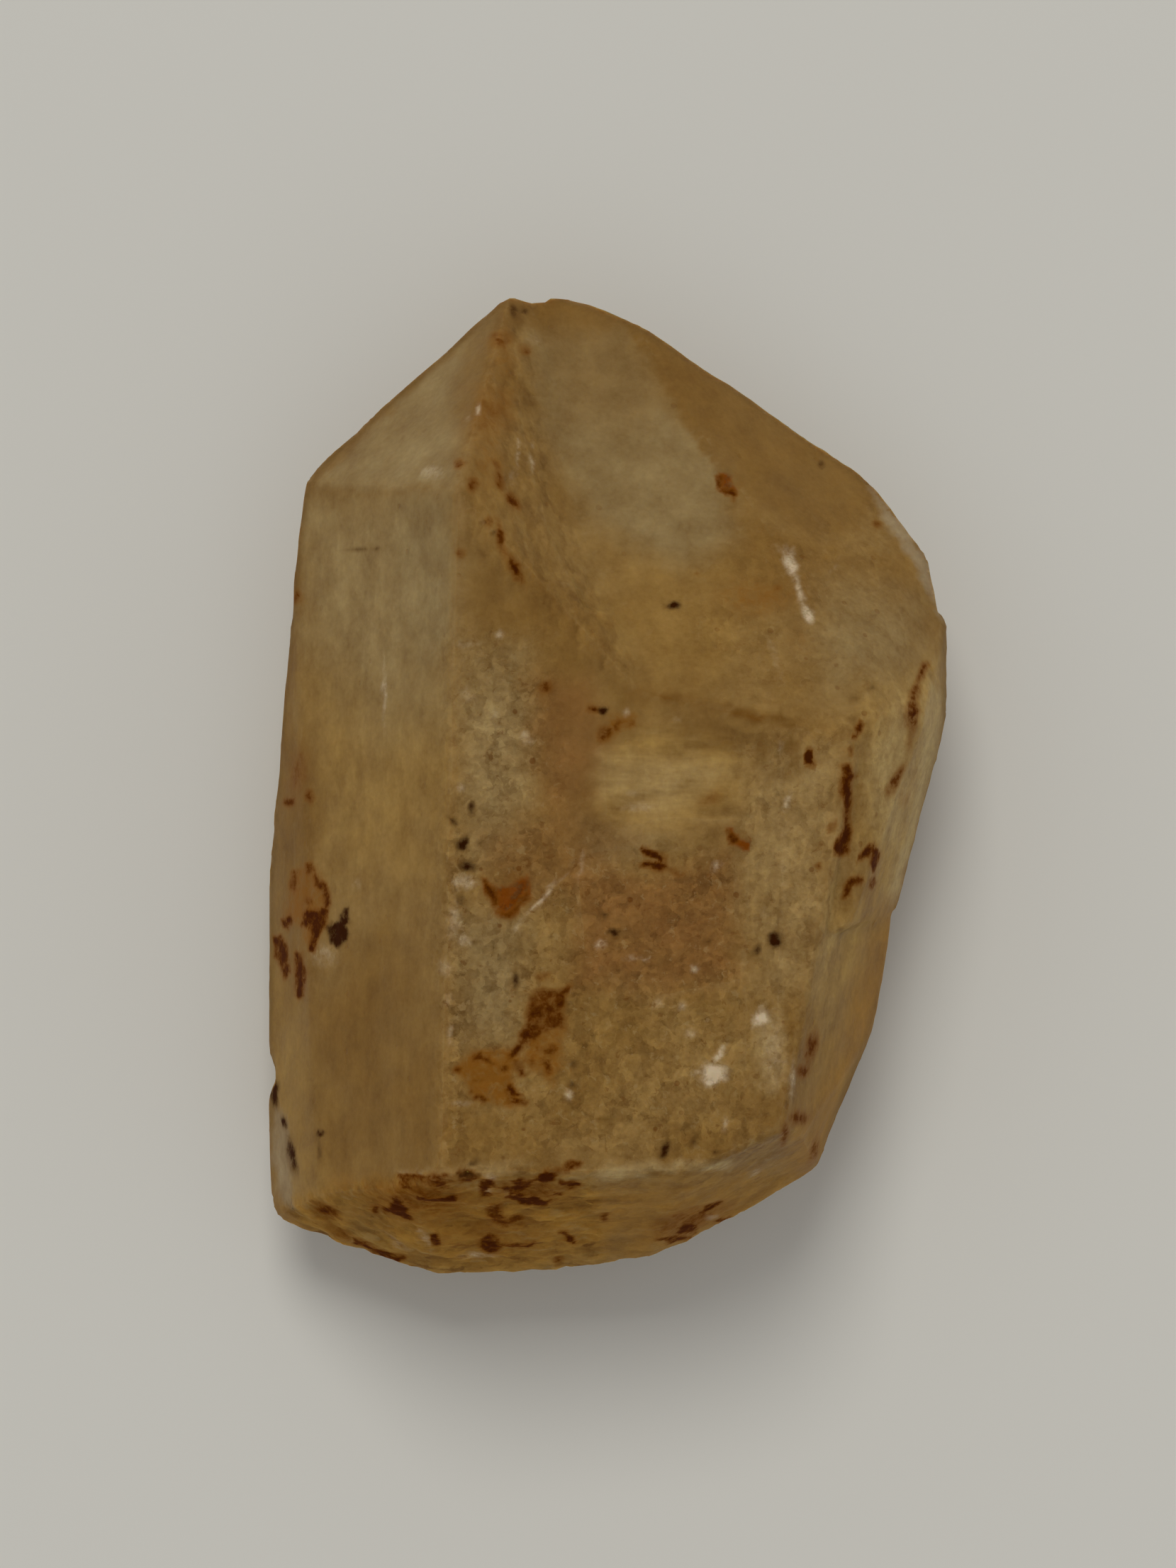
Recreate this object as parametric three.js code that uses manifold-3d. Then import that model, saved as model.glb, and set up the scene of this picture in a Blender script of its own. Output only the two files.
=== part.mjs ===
import * as THREE from "three";
import { mergeVertices } from "three/addons/utils/BufferGeometryUtils.js";
import { TessellateModifier } from "three/addons/modifiers/TessellateModifier.js";
import { ImprovedNoise } from "three/addons/math/ImprovedNoise.js";
import Module from "manifold-3d";

const wasm = await Module();
wasm.setup();

// A single citrine point lying on one of its sides, in millimetres. X runs across it, Y along it
// to the tip and Z up. The origin is on the table, under the middle of the outline.

// Corners that the faces pass through
const ridgeTop = [-6.2, 12.3, 17.6];
const apex = [-4.1, 21.05, 8.9];
const crestMiddle = [-2.15, 21.25, 8.3];
const crestEnd = [1.2, 20.05, 7.4];
const crestLow = [-3.2, 21, 7.9];
const tipFaceFoot = [2.35, 3.7, 17.3];
const upperShoulder = [11.35, 13.3, 6.2];
const lowerShoulder = [14.1, 9.45, 7.4];
const rightEquator = [14.35, 6.9, 9];
const rightWaist = [11.75, -9.85, 8.7];
const rightHeel = [8.8, -16.6, 9];
const leftShoulder = [-13.15, 12.6, 8.1];
const leftBulge = [-14.9, -4.9, 3.8];
const leftWaist = [-14.2, -10.6, 4];
const baseCorner = [3.85, -19.5, 7.5];
const baseLowest = [-4.15, -21.1, 6.5];
const baseLeftCorner = [-10.9, -20.05, 6];
const growthKnee = [14.6, 2.95, 9];

// A face is set by where it looks: its turn about the long axis, counted from +X over the top,
// its lean toward the tip (plus) or toward the base (minus), both in degrees, and one corner.
const topPrism = { turn: 85.7, lean: 2.2, through: ridgeTop };
const prismFaces = [
  topPrism,
  { turn: 146.2, lean: 2.4, through: ridgeTop },
  { turn: 157.7, lean: 0.8, through: [-13.2, 9.4, 7.45] },
  { turn: 21.7, lean: -9.2, through: [10.25, 0.8, 16.8] },
  { turn: 13.3, lean: -21.5, through: rightWaist },
];
const tipFaces = [
  { turn: 143.1, lean: 38.9, through: ridgeTop },
  { turn: 53.2, lean: 37.3, through: crestEnd },
  { turn: 30.5, lean: 36.4, through: [10.6, 11.25, 10.8] },
  { turn: 39.3, lean: 25.4, through: [10.35, 3.2, 16.7] },
  { turn: 318.6, lean: 74.8, through: crestMiddle },
  { turn: 227.6, lean: 76.4, through: apex },
];
const hiddenFaces = [
  { turn: 242.1, lean: 33, through: crestLow },
  { turn: 290.8, lean: 35.2, through: crestEnd },
  { turn: 313.9, lean: 15.2, through: upperShoulder },
  { turn: 332.7, lean: 2, through: lowerShoulder },
  { turn: 330.7, lean: -7.8, through: rightEquator },
  { turn: 329.8, lean: -20.9, through: rightWaist },
  { turn: 204.4, lean: 9.2, through: leftShoulder },
  { turn: 202.1, lean: -4.3, through: leftBulge },
  { turn: 204, lean: -1.7, through: leftWaist },
  { turn: 270, lean: 0, through: [0, 0, 0] },
];
const baseFaces = [
  { turn: 83.2, lean: -67.1, through: [-6.8, -16.2, 18.7] },
  { turn: 35.2, lean: -59.1, through: [4.25, -15.7, 17.9] },
  { turn: 135.3, lean: -59.3, through: [-11.6, -17.4, 11.8] },
  { turn: 323.9, lean: -46.7, through: rightHeel },
  { turn: 302, lean: -63.8, through: baseCorner },
  { turn: 255.6, lean: -63.1, through: baseLowest },
  { turn: 235, lean: -55, through: baseLeftCorner },
];

// The broad tip face lies lower than the stepped band at its left, and a valley parts them, so
// the two are cut as one notch.
const steppedBand = { turn: 47.3, lean: 30.8, through: ridgeTop };
const broadTipFace = { turn: 77.8, lean: 31.2, through: tipFaceFoot };

// A smaller crystal that grew along the right side and stands a little proud of it. The tip
// faces and the top face end it too.
const sideGrowthFaces = [
  { turn: 17.6, lean: 2.5, through: growthKnee },
  { turn: 16.5, lean: -15, through: growthKnee },
  { turn: 38, lean: -5, through: [11.35, 0.8, 15.3] },
  { turn: 62, lean: -4, through: [10.75, 0, 15.9] },
  { turn: 20, lean: 60, through: [13.6, 7.2, 10.5] },
  { turn: 10, lean: -62, through: [12.35, -5.35, 9] },
  { turn: 325, lean: -8, through: growthKnee },
  { turn: 180, lean: 0, through: [6, 0, 9] },
  { turn: 270, lean: 0, through: [0, 0, 3.5] },
];

// Growth steps sunk into a face: how deep, and their outlines seen from above
const growthSteps = [
  {
    face: topPrism,
    depth: 0.13,
    outline: [[-0.2, 2.3], [2.9, 2], [5.8, 1.3], [5.4, -1.5], [2.6, -1.3], [0.2, -1.9]],
  },
  {
    face: topPrism,
    depth: 0.1,
    outline: [[-1.3, -2.9], [2.2, -2.6], [5.3, -3.2], [5.6, -8.1], [1.6, -8.9], [-0.8, -7]],
  },
  {
    face: topPrism,
    depth: 0.09,
    outline: [[6, -2.2], [7.4, -2.5], [7, -12.9], [5.9, -12.1]],
  },
];
// Those of the band go down one after the other to the valley, and end there
const bandSteps = [
  {
    face: steppedBand,
    depth: 0.16,
    outline: [[-4.6, 17.6], [-4.6, 15.4], [-4, 11.9], [-2.7, 8.6], [3, 8], [2, 17.4]],
  },
  {
    face: steppedBand,
    depth: 0.36,
    outline: [[-3.7, 16.6], [-3.4, 14.6], [-2.5, 11], [-0.9, 7.2], [3, 7], [3, 16.2]],
  },
];

// Shell-shaped fracture hollows: middle and radii of the ball that cuts them
const hollows = [
  { middle: [-6.4, -26.2, 18.2], radii: [9, 9.2, 10] },
  { middle: [3.6, -25.4, 15], radii: [6.4, 7.6, 8] },
  { middle: [-13.6, -22.4, 9], radii: [3.2, 3.4, 5.4] },
  { middle: [7.2, -21.7, 8.5], radii: [2.8, 3.5, 5] },
  { middle: [-16.6, -12.6, 5.5], radii: [2.5, 1.6, 4] },
];

// Small dished pits in the upper side: place seen from above, and the radius of the ball that
// dips into the surface there
const pits = [
  { place: [-11.5, -6.1], radius: 0.6 },
  { place: [-12.7, -4.6], radius: 0.5 },
  { place: [-13.2, -7.4], radius: 0.45 },
  { place: [10.45, 1.5], radius: 0.45 },
  { place: [10.2, -2.3], radius: 0.5 },
  { place: [7.3, -6.55], radius: 0.4 },
  { place: [-5.7, -3.2], radius: 0.4 },
  { place: [2.85, 7.7], radius: 0.3 },
  { place: [5.1, 12.9], radius: 0.45 },
];
const pitLift = 0.6; // share of the radius that the ball's middle stands above the surface

const startSize = 60; // the block that the crystal is cut from
const cutterSize = 90; // a block that cuts one face
const stepCutterHeight = 5;
const hollowDetail = 5;
const pitDetail = 1;
const pointMerge = 1e-5;
const skinMerge = 1e-4;

const triangleEdge = 2.3; // longest edge in the skin
const splitRounds = 14;
const lumpHeight = 0.09;
const lumpWidth = 5.5;
const lumpStretch = 1.6; // lumps are longer along the crystal
const dimpleHeight = 0.04;
const dimpleWidth = 1.9;
const dimpleShift = 40; // sets the dimples apart from the lumps
const flatBelow = 0.01; // no relief where the crystal rests
const fullAbove = 1.5;

// A closed solid from a closed three.js geometry
function solid(geometry) {
  const bare = geometry.clone();
  bare.deleteAttribute("normal");
  bare.deleteAttribute("uv");
  const welded = mergeVertices(bare, pointMerge);
  const vertProperties = new Float32Array(welded.attributes.position.array);
  const triVerts = new Uint32Array(welded.index.array);
  return new wasm.Manifold(new wasm.Mesh({ numProp: 3, vertProperties, triVerts }));
}

function geometryOf(body) {
  const mesh = body.getMesh();
  const geometry = new THREE.BufferGeometry();
  geometry.setAttribute("position", new THREE.BufferAttribute(new Float32Array(mesh.vertProperties), 3));
  geometry.setIndex(new THREE.BufferAttribute(new Uint32Array(mesh.triVerts), 1));
  return geometry;
}

function outward({ turn, lean }) {
  const turnAngle = THREE.MathUtils.degToRad(turn);
  const leanAngle = THREE.MathUtils.degToRad(lean);
  const across = Math.cos(leanAngle);
  return new THREE.Vector3(across * Math.cos(turnAngle), Math.sin(leanAngle), across * Math.sin(turnAngle));
}

// Everything outside one face, as a block that stands on it
function outsideOf(face) {
  const normal = outward(face);
  const middle = new THREE.Vector3(...face.through).addScaledVector(normal, cutterSize / 2);
  const block = new THREE.BoxGeometry(cutterSize, cutterSize, cutterSize);
  block.applyQuaternion(new THREE.Quaternion().setFromUnitVectors(new THREE.Vector3(0, 0, 1), normal));
  block.translate(middle.x, middle.y, middle.z);
  return solid(block);
}

function crystal(faces) {
  let body = solid(new THREE.BoxGeometry(startSize, startSize, startSize));
  for (const face of faces) {
    body = body.subtract(outsideOf(face));
  }
  return body;
}

// The outline stands on a plane parallel to its face, sunk by the step's depth
function stepCutter({ face, depth, outline }) {
  const shape = new THREE.Shape(outline.map(([x, y]) => new THREE.Vector2(x, y)));
  const geometry = new THREE.ExtrudeGeometry(shape, { depth: stepCutterHeight, bevelEnabled: false });
  const normal = outward(face);
  const [faceX, faceY, faceZ] = face.through;
  const position = geometry.attributes.position;
  for (let i = 0; i < position.count; i += 1) {
    const fall = (normal.x * (position.getX(i) - faceX) + normal.y * (position.getY(i) - faceY)) / normal.z;
    position.setZ(i, position.getZ(i) + faceZ - fall - depth);
  }
  return solid(geometry);
}

function hollowCutter({ middle, radii }) {
  const ball = new THREE.IcosahedronGeometry(1, hollowDetail);
  ball.scale(...radii);
  ball.translate(...middle);
  return solid(ball);
}

// A pit dips into the surface that is highest at its place
function pitCutter({ place, radius }, surfaceMesh) {
  const fromAbove = new THREE.Raycaster(new THREE.Vector3(...place, startSize), new THREE.Vector3(0, 0, -1));
  const [hit] = fromAbove.intersectObject(surfaceMesh);
  const middle = hit.point.clone().addScaledVector(hit.face.normal, pitLift * radius);
  const ball = new THREE.IcosahedronGeometry(radius, pitDetail);
  ball.translate(middle.x, middle.y, middle.z);
  return solid(ball);
}

const tipNotch = outsideOf(steppedBand).intersect(outsideOf(broadTipFace));
let body = crystal([...prismFaces, ...tipFaces, ...hiddenFaces, ...baseFaces]).subtract(tipNotch);
body = body.add(crystal([topPrism, ...tipFaces, ...sideGrowthFaces]).subtract(tipNotch));
for (const step of growthSteps) {
  body = body.subtract(stepCutter(step));
}
for (const step of bandSteps) {
  body = body.subtract(stepCutter(step).intersect(outsideOf(broadTipFace)));
}
for (const hollow of hollows) {
  body = body.subtract(hollowCutter(hollow));
}
const unpitted = new THREE.Mesh(geometryOf(body));
for (const pit of pits) {
  body = body.subtract(pitCutter(pit, unpitted));
}

const noise = new ImprovedNoise();

// Low lumps and dimples all over, in millimetres along the normal
function relief({ x, y, z }) {
  const lumps = noise.noise(x / lumpWidth, y / lumpWidth / lumpStretch, z / lumpWidth);
  const dimples = noise.noise(x / dimpleWidth + dimpleShift, y / dimpleWidth, z / dimpleWidth);
  return lumpHeight * lumps + dimpleHeight * dimples;
}

function withRelief(geometry) {
  const position = geometry.attributes.position;
  const normal = geometry.attributes.normal;
  const point = new THREE.Vector3();
  const direction = new THREE.Vector3();
  for (let i = 0; i < position.count; i += 1) {
    point.fromBufferAttribute(position, i);
    direction.fromBufferAttribute(normal, i);
    const fade = THREE.MathUtils.smoothstep(point.z, flatBelow, fullAbove);
    point.addScaledVector(direction, fade * relief(point));
    position.setXYZ(i, point.x, point.y, point.z);
  }
  return geometry;
}

const fine = new TessellateModifier(triangleEdge, splitRounds).modify(geometryOf(body));
fine.deleteAttribute("normal");
fine.deleteAttribute("uv");
const skin = mergeVertices(fine, skinMerge);
skin.computeVertexNormals();
const surface = withRelief(skin);
surface.deleteAttribute("normal");
surface.computeVertexNormals();
surface.computeBoundingBox();
const outlineMiddle = surface.boundingBox.getCenter(new THREE.Vector3());
surface.translate(-outlineMiddle.x, -outlineMiddle.y, 0);

const citrine = new THREE.MeshStandardMaterial({ color: 0x7a6038, roughness: 0.35, metalness: 0 });
const citrineCrystal = new THREE.Mesh(surface, citrine);
citrineCrystal.name = "citrine_crystal";

const group = new THREE.Group();
group.add(citrineCrystal);

export default group;
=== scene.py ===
import math

import bmesh
import bpy
import numpy as np
from mathutils import Matrix, Vector, noise
from mathutils.bvhtree import BVHTree
from mathutils.kdtree import KDTree


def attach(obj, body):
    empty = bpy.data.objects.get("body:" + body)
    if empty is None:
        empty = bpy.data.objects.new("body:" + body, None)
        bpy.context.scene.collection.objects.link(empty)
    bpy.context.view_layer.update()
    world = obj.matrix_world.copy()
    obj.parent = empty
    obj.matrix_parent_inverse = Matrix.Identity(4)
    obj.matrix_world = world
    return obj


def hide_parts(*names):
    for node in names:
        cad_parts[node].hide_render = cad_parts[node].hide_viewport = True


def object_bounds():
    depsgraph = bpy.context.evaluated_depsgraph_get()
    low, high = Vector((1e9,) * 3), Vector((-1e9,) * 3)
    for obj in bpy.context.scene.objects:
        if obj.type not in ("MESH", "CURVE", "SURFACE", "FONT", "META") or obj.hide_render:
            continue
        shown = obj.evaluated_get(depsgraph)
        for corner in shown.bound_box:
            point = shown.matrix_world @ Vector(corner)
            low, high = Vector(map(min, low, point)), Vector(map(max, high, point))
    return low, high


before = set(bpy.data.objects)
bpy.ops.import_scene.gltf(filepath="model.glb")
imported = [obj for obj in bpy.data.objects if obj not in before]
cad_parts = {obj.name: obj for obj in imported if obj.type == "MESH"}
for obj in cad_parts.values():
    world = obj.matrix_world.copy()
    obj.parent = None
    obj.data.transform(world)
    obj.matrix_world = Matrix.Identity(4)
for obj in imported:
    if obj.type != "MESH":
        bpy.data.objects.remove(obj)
cadLow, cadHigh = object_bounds()
mm = 0.001


class Value:
    # A socket of a node tree. Sums and products of values add Math nodes to the tree.
    def __init__(self, sheet, socket):
        self.sheet = sheet
        self.socket = socket

    def __add__(self, other):
        return self.sheet.math("ADD", self, other)

    def __radd__(self, other):
        return self.sheet.math("ADD", other, self)

    def __sub__(self, other):
        return self.sheet.math("SUBTRACT", self, other)

    def __rsub__(self, other):
        return self.sheet.math("SUBTRACT", other, self)

    def __mul__(self, other):
        return self.sheet.math("MULTIPLY", self, other)

    def __rmul__(self, other):
        return self.sheet.math("MULTIPLY", other, self)

    def __rtruediv__(self, other):
        return self.sheet.math("DIVIDE", other, self)


class Sheet:
    # A node tree that is being filled
    def __init__(self, tree):
        self.tree = tree

    def node(self, kind, settings=None, inputs=None, output=0):
        made = self.tree.nodes.new(kind)
        for name, setting in (settings or {}).items():
            setattr(made, name, setting)
        for key, value in (inputs or {}).items():
            if isinstance(value, Value):
                self.tree.links.new(value.socket, made.inputs[key])
            else:
                made.inputs[key].default_value = value
        return Value(self, made.outputs[output]) if made.outputs else made

    def math(self, operation, *values):
        return self.node("ShaderNodeMath", {"operation": operation}, dict(enumerate(values)))

    def scaled(self, vector, factor):
        return self.node("ShaderNodeVectorMath", {"operation": "SCALE"}, {0: vector, "Scale": factor})

    def stretched(self, vector, factors):
        return self.node("ShaderNodeVectorMath", {"operation": "MULTIPLY"}, {0: vector, 1: factors})

    def step(self, value, low, high, start=0.0, end=1.0):
        settings = {"interpolation_type": "SMOOTHSTEP"}
        return self.node("ShaderNodeMapRange", settings, {0: value, 1: low, 2: high, 3: start, 4: end})

    def cloud(self, vector, size, detail=2.0, roughness=0.5, output=0):
        inputs = {"Vector": vector, "Scale": 1 / size, "Detail": detail, "Roughness": roughness}
        return self.node("ShaderNodeTexNoise", None, inputs, output)

    def cells(self, vector, size, output):
        return self.node("ShaderNodeTexVoronoi", None, {"Vector": vector, "Scale": 1 / size}, output)

    def mixed(self, factor, first, second):
        return self.node("ShaderNodeMix", {"data_type": "RGBA"}, {0: factor, 6: first, 7: second}, output=2)


def link(thing):
    bpy.context.scene.collection.objects.link(thing)
    return thing


def applied(thing):
    # the mesh that the modifiers give, in place of the modifiers
    graph = bpy.context.evaluated_depsgraph_get()
    mesh = bpy.data.meshes.new_from_object(thing.evaluated_get(graph))
    thing.modifiers.clear()
    thing.data = mesh
    return mesh


def pointsOf(mesh):
    flat = np.empty(len(mesh.vertices) * 3)
    mesh.vertices.foreach_get("co", flat)
    return flat.reshape(-1, 3)


def normalsOf(mesh):
    flat = np.empty(len(mesh.vertices) * 3)
    mesh.vertex_normals.foreach_get("vector", flat)
    return flat.reshape(-1, 3)


def setPoints(mesh, points):
    mesh.vertices.foreach_set("co", points.ravel())
    mesh.update()


def smoothStep(value, low, high):
    share = np.clip((value - low) / (high - low), 0, 1)
    return share * share * (3 - 2 * share)


def store(mesh, name, values):
    mesh.attributes.new(name, "FLOAT", "POINT").data.foreach_set("value", values.astype(np.float32))


skinMaking = {
    "weldReach": 0.0001,         # millimetres between corners of the body that are one
    "voxel": 0.23,               # millimetres between points
    "sharpTurn": 0.3,            # radians between two faces that make a sharp edge
    "edgeSpacing": 0.04,         # millimetres between the points that stand for a sharp edge
    "edgeCatch": 0.21,           # how near a sharp edge a point is pulled onto it
    "evenRounds": 6,             # smoothing rounds along the sharp edges
    "edgeRounds": 8,             # smoothing rounds that wear the edges on top
    "outlineRounds": 4,          # and those of the outline
    "outlineFill": 0.10,         # what the flanks get back of the rounding, in millimetres
    "outlineReach": 6,           # how many points away from the flanks the outline's rounding goes
    "flankRise": (0.25, 0.6),    # how far up a normal points on a flank, and where the flank has ended
    "wornDepths": (0.02, 0.09),  # how much the wear took off where it begins to show, and is whole
}


# The crystal's own body, welded and turned to millimetres
def crystalBody():
    body = bmesh.new()
    body.from_mesh(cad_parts["citrine_crystal"].data)
    bmesh.ops.scale(body, vec=Vector((1, 1, 1)) / mm, verts=body.verts)
    bmesh.ops.remove_doubles(body, verts=body.verts, dist=skinMaking["weldReach"])
    return body


def neighbourMean(points, pairs):
    both = np.concatenate([pairs, pairs[:, ::-1]])
    counts = np.maximum(np.bincount(both[:, 0], minlength=len(points)), 1)
    sums = [
        np.bincount(both[:, 0], weights=column[both[:, 1]], minlength=len(points))
        for column in points.T]
    return np.stack(sums, axis=1) / counts[:, None]


def edgePoints(body):
    # points close together along the body's sharp edges
    found = []
    for edge in body.edges:
        if edge.calc_face_angle(0) > skinMaking["sharpTurn"]:
            start, end = (corner.co for corner in edge.verts)
            count = math.ceil(edge.calc_length() / skinMaking["edgeSpacing"])
            found += [start.lerp(end, part / count) for part in range(count + 1)]
    tree = KDTree(len(found))
    for index, point in enumerate(found):
        tree.insert(point, index)
    tree.balance()
    return tree


def laidOnBody(mesh, body):
    # the mesh's points on the body's faces, and those near a sharp edge on that edge
    faces = BVHTree.FromBMesh(body)
    edges = edgePoints(body)
    laid = np.array([faces.find_nearest(Vector(point))[0] for point in pointsOf(mesh)])
    caught = [edges.find(Vector(point)) for point in laid]
    near = np.array([gap < skinMaking["edgeCatch"] for _, _, gap in caught])
    laid[near] = np.array([place for place, _, _ in caught])[near]
    return laid, near


def edgePairs(mesh):
    pairs = np.empty(len(mesh.edges) * 2, dtype=np.int32)
    mesh.edges.foreach_get("vertices", pairs)
    return pairs.reshape(-1, 2)


def worn(points, pairs, rounds):
    for _ in range(rounds):
        points = (points + neighbourMean(points, pairs)) / 2
    return points


def outlineKept(mesh, soft, crisp, pairs):
    # soft on top and crisp at the flanks, which are pushed out again
    normals = normalsOf(mesh)
    steep = 1 - smoothStep(np.abs(normals[:, 2]), *skinMaking["flankRise"])[:, None]
    hold = steep
    for _ in range(skinMaking["outlineReach"]):
        hold = np.maximum(hold, neighbourMean(hold, pairs))
    full = crisp + skinMaking["outlineFill"] * steep * normals
    full = (full + neighbourMean(full, pairs)) / 2
    return full * hold + soft * (1 - hold)


def evenedEdges(points, along):
    # smoothed along the sharp edges only, which takes out the steps of the voxels there
    lined = np.unique(along)
    for _ in range(skinMaking["evenRounds"]):
        points[lined] = (points[lined] + neighbourMean(points, along)[lined]) / 2
    return points


# A fine even skin that lies on the body, with worn edges. It keeps how much each point was worn,
# which is most on sharp edges.
def makeSkin():
    body = crystalBody()
    mesh = bpy.data.meshes.new("citrineSkin")
    body.to_mesh(mesh)
    skin = link(bpy.data.objects.new("citrineSkin", mesh))
    voxels = skin.modifiers.new("voxels", "REMESH")
    voxels.mode = "VOXEL"
    voxels.voxel_size = skinMaking["voxel"]
    mesh = applied(skin)
    sharp, near = laidOnBody(mesh, body)
    body.free()
    setPoints(mesh, sharp)
    pairs = edgePairs(mesh)
    crisp = worn(sharp, pairs, skinMaking["outlineRounds"])
    soft = worn(crisp, pairs, skinMaking["edgeRounds"] - skinMaking["outlineRounds"])
    wear = np.einsum("ij,ij->i", sharp - soft, normalsOf(mesh))
    setPoints(mesh, crisp)
    shaped = outlineKept(mesh, soft, crisp, pairs)
    along = pairs[near[pairs].all(axis=1)]
    setPoints(mesh, evenedEdges(shaped, along))
    store(mesh, "wear", smoothStep(wear, *skinMaking["wornDepths"]))
    print("skin:", len(mesh.vertices), "points")
    return skin


# The picture that the camera takes straight from above. Marks and zones further down are placed
# by the pixel where this camera sees them, counted across and down from the top left corner.
picture = {
    "wide": 1659,
    "high": 2212,
    "pixel": 0.030435,  # millimetres, at the level of the widest outline
    "level": 9.0,       # millimetres above the floor
    "cameraHeight": 300.0,
    "cameraPlace": (-0.78, 0.02),
}

painting = {
    "warpSize": 0.7,             # wobble of the marks' outlines, in millimetres
    "warpReach": 0.22,           # how far a point is moved by it
    "warpFiner": 2.7,            # how much finer the second, weaker wobble is
    "upperSideStart": 0.02,      # how far up a normal points where the upper side's marks begin
    "upperSideFull": 0.22,
    "patchSize": 5.0,            # of the waves that place tints and textures on the hidden sides
    "patchShift": (31.7, 17.3, 5.9),
    "tintPatch": (0.05, 0.45),   # the waves' heights at which a tint begins there, and is whole
    "texturePatch": (0.0, 0.5),  # and those for a texture
    "brokenFrom": (16.5, 18.5),  # how far towards the foot the broken part begins, and is whole
    # the flanks' darker tone is painted shade
    "flankTint": (0.05, 0.3),    # how far up a normal points where the flanks' tone is whole, and ends
    "refineFrom": 0.2,           # the least strength of the marks that get a finer mesh
    "refineKinds": ("rust", "ember", "soot", "veilAndGlint"),
    "outlineTurns": 180,         # the directions in which the outline is measured
    # the outline's dark line is painted shade, laid where the camera sees the crystal's edge turn away
    "rimWidth": (2, 12),         # pixels inside the outline where its dark line is whole, and ends
    "rimEnd": (1560, 1680),      # how far down the picture it fades out
}

# The tints, in the order in which they are laid, and how much of each the hidden sides get
tints = {"honey": 0.8, "khaki": 0.5, "umber": 0.7, "russet": 0.5, "pale": 0.25, "toffee": 0.5, "thinEdgeLight": 0.0}

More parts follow.
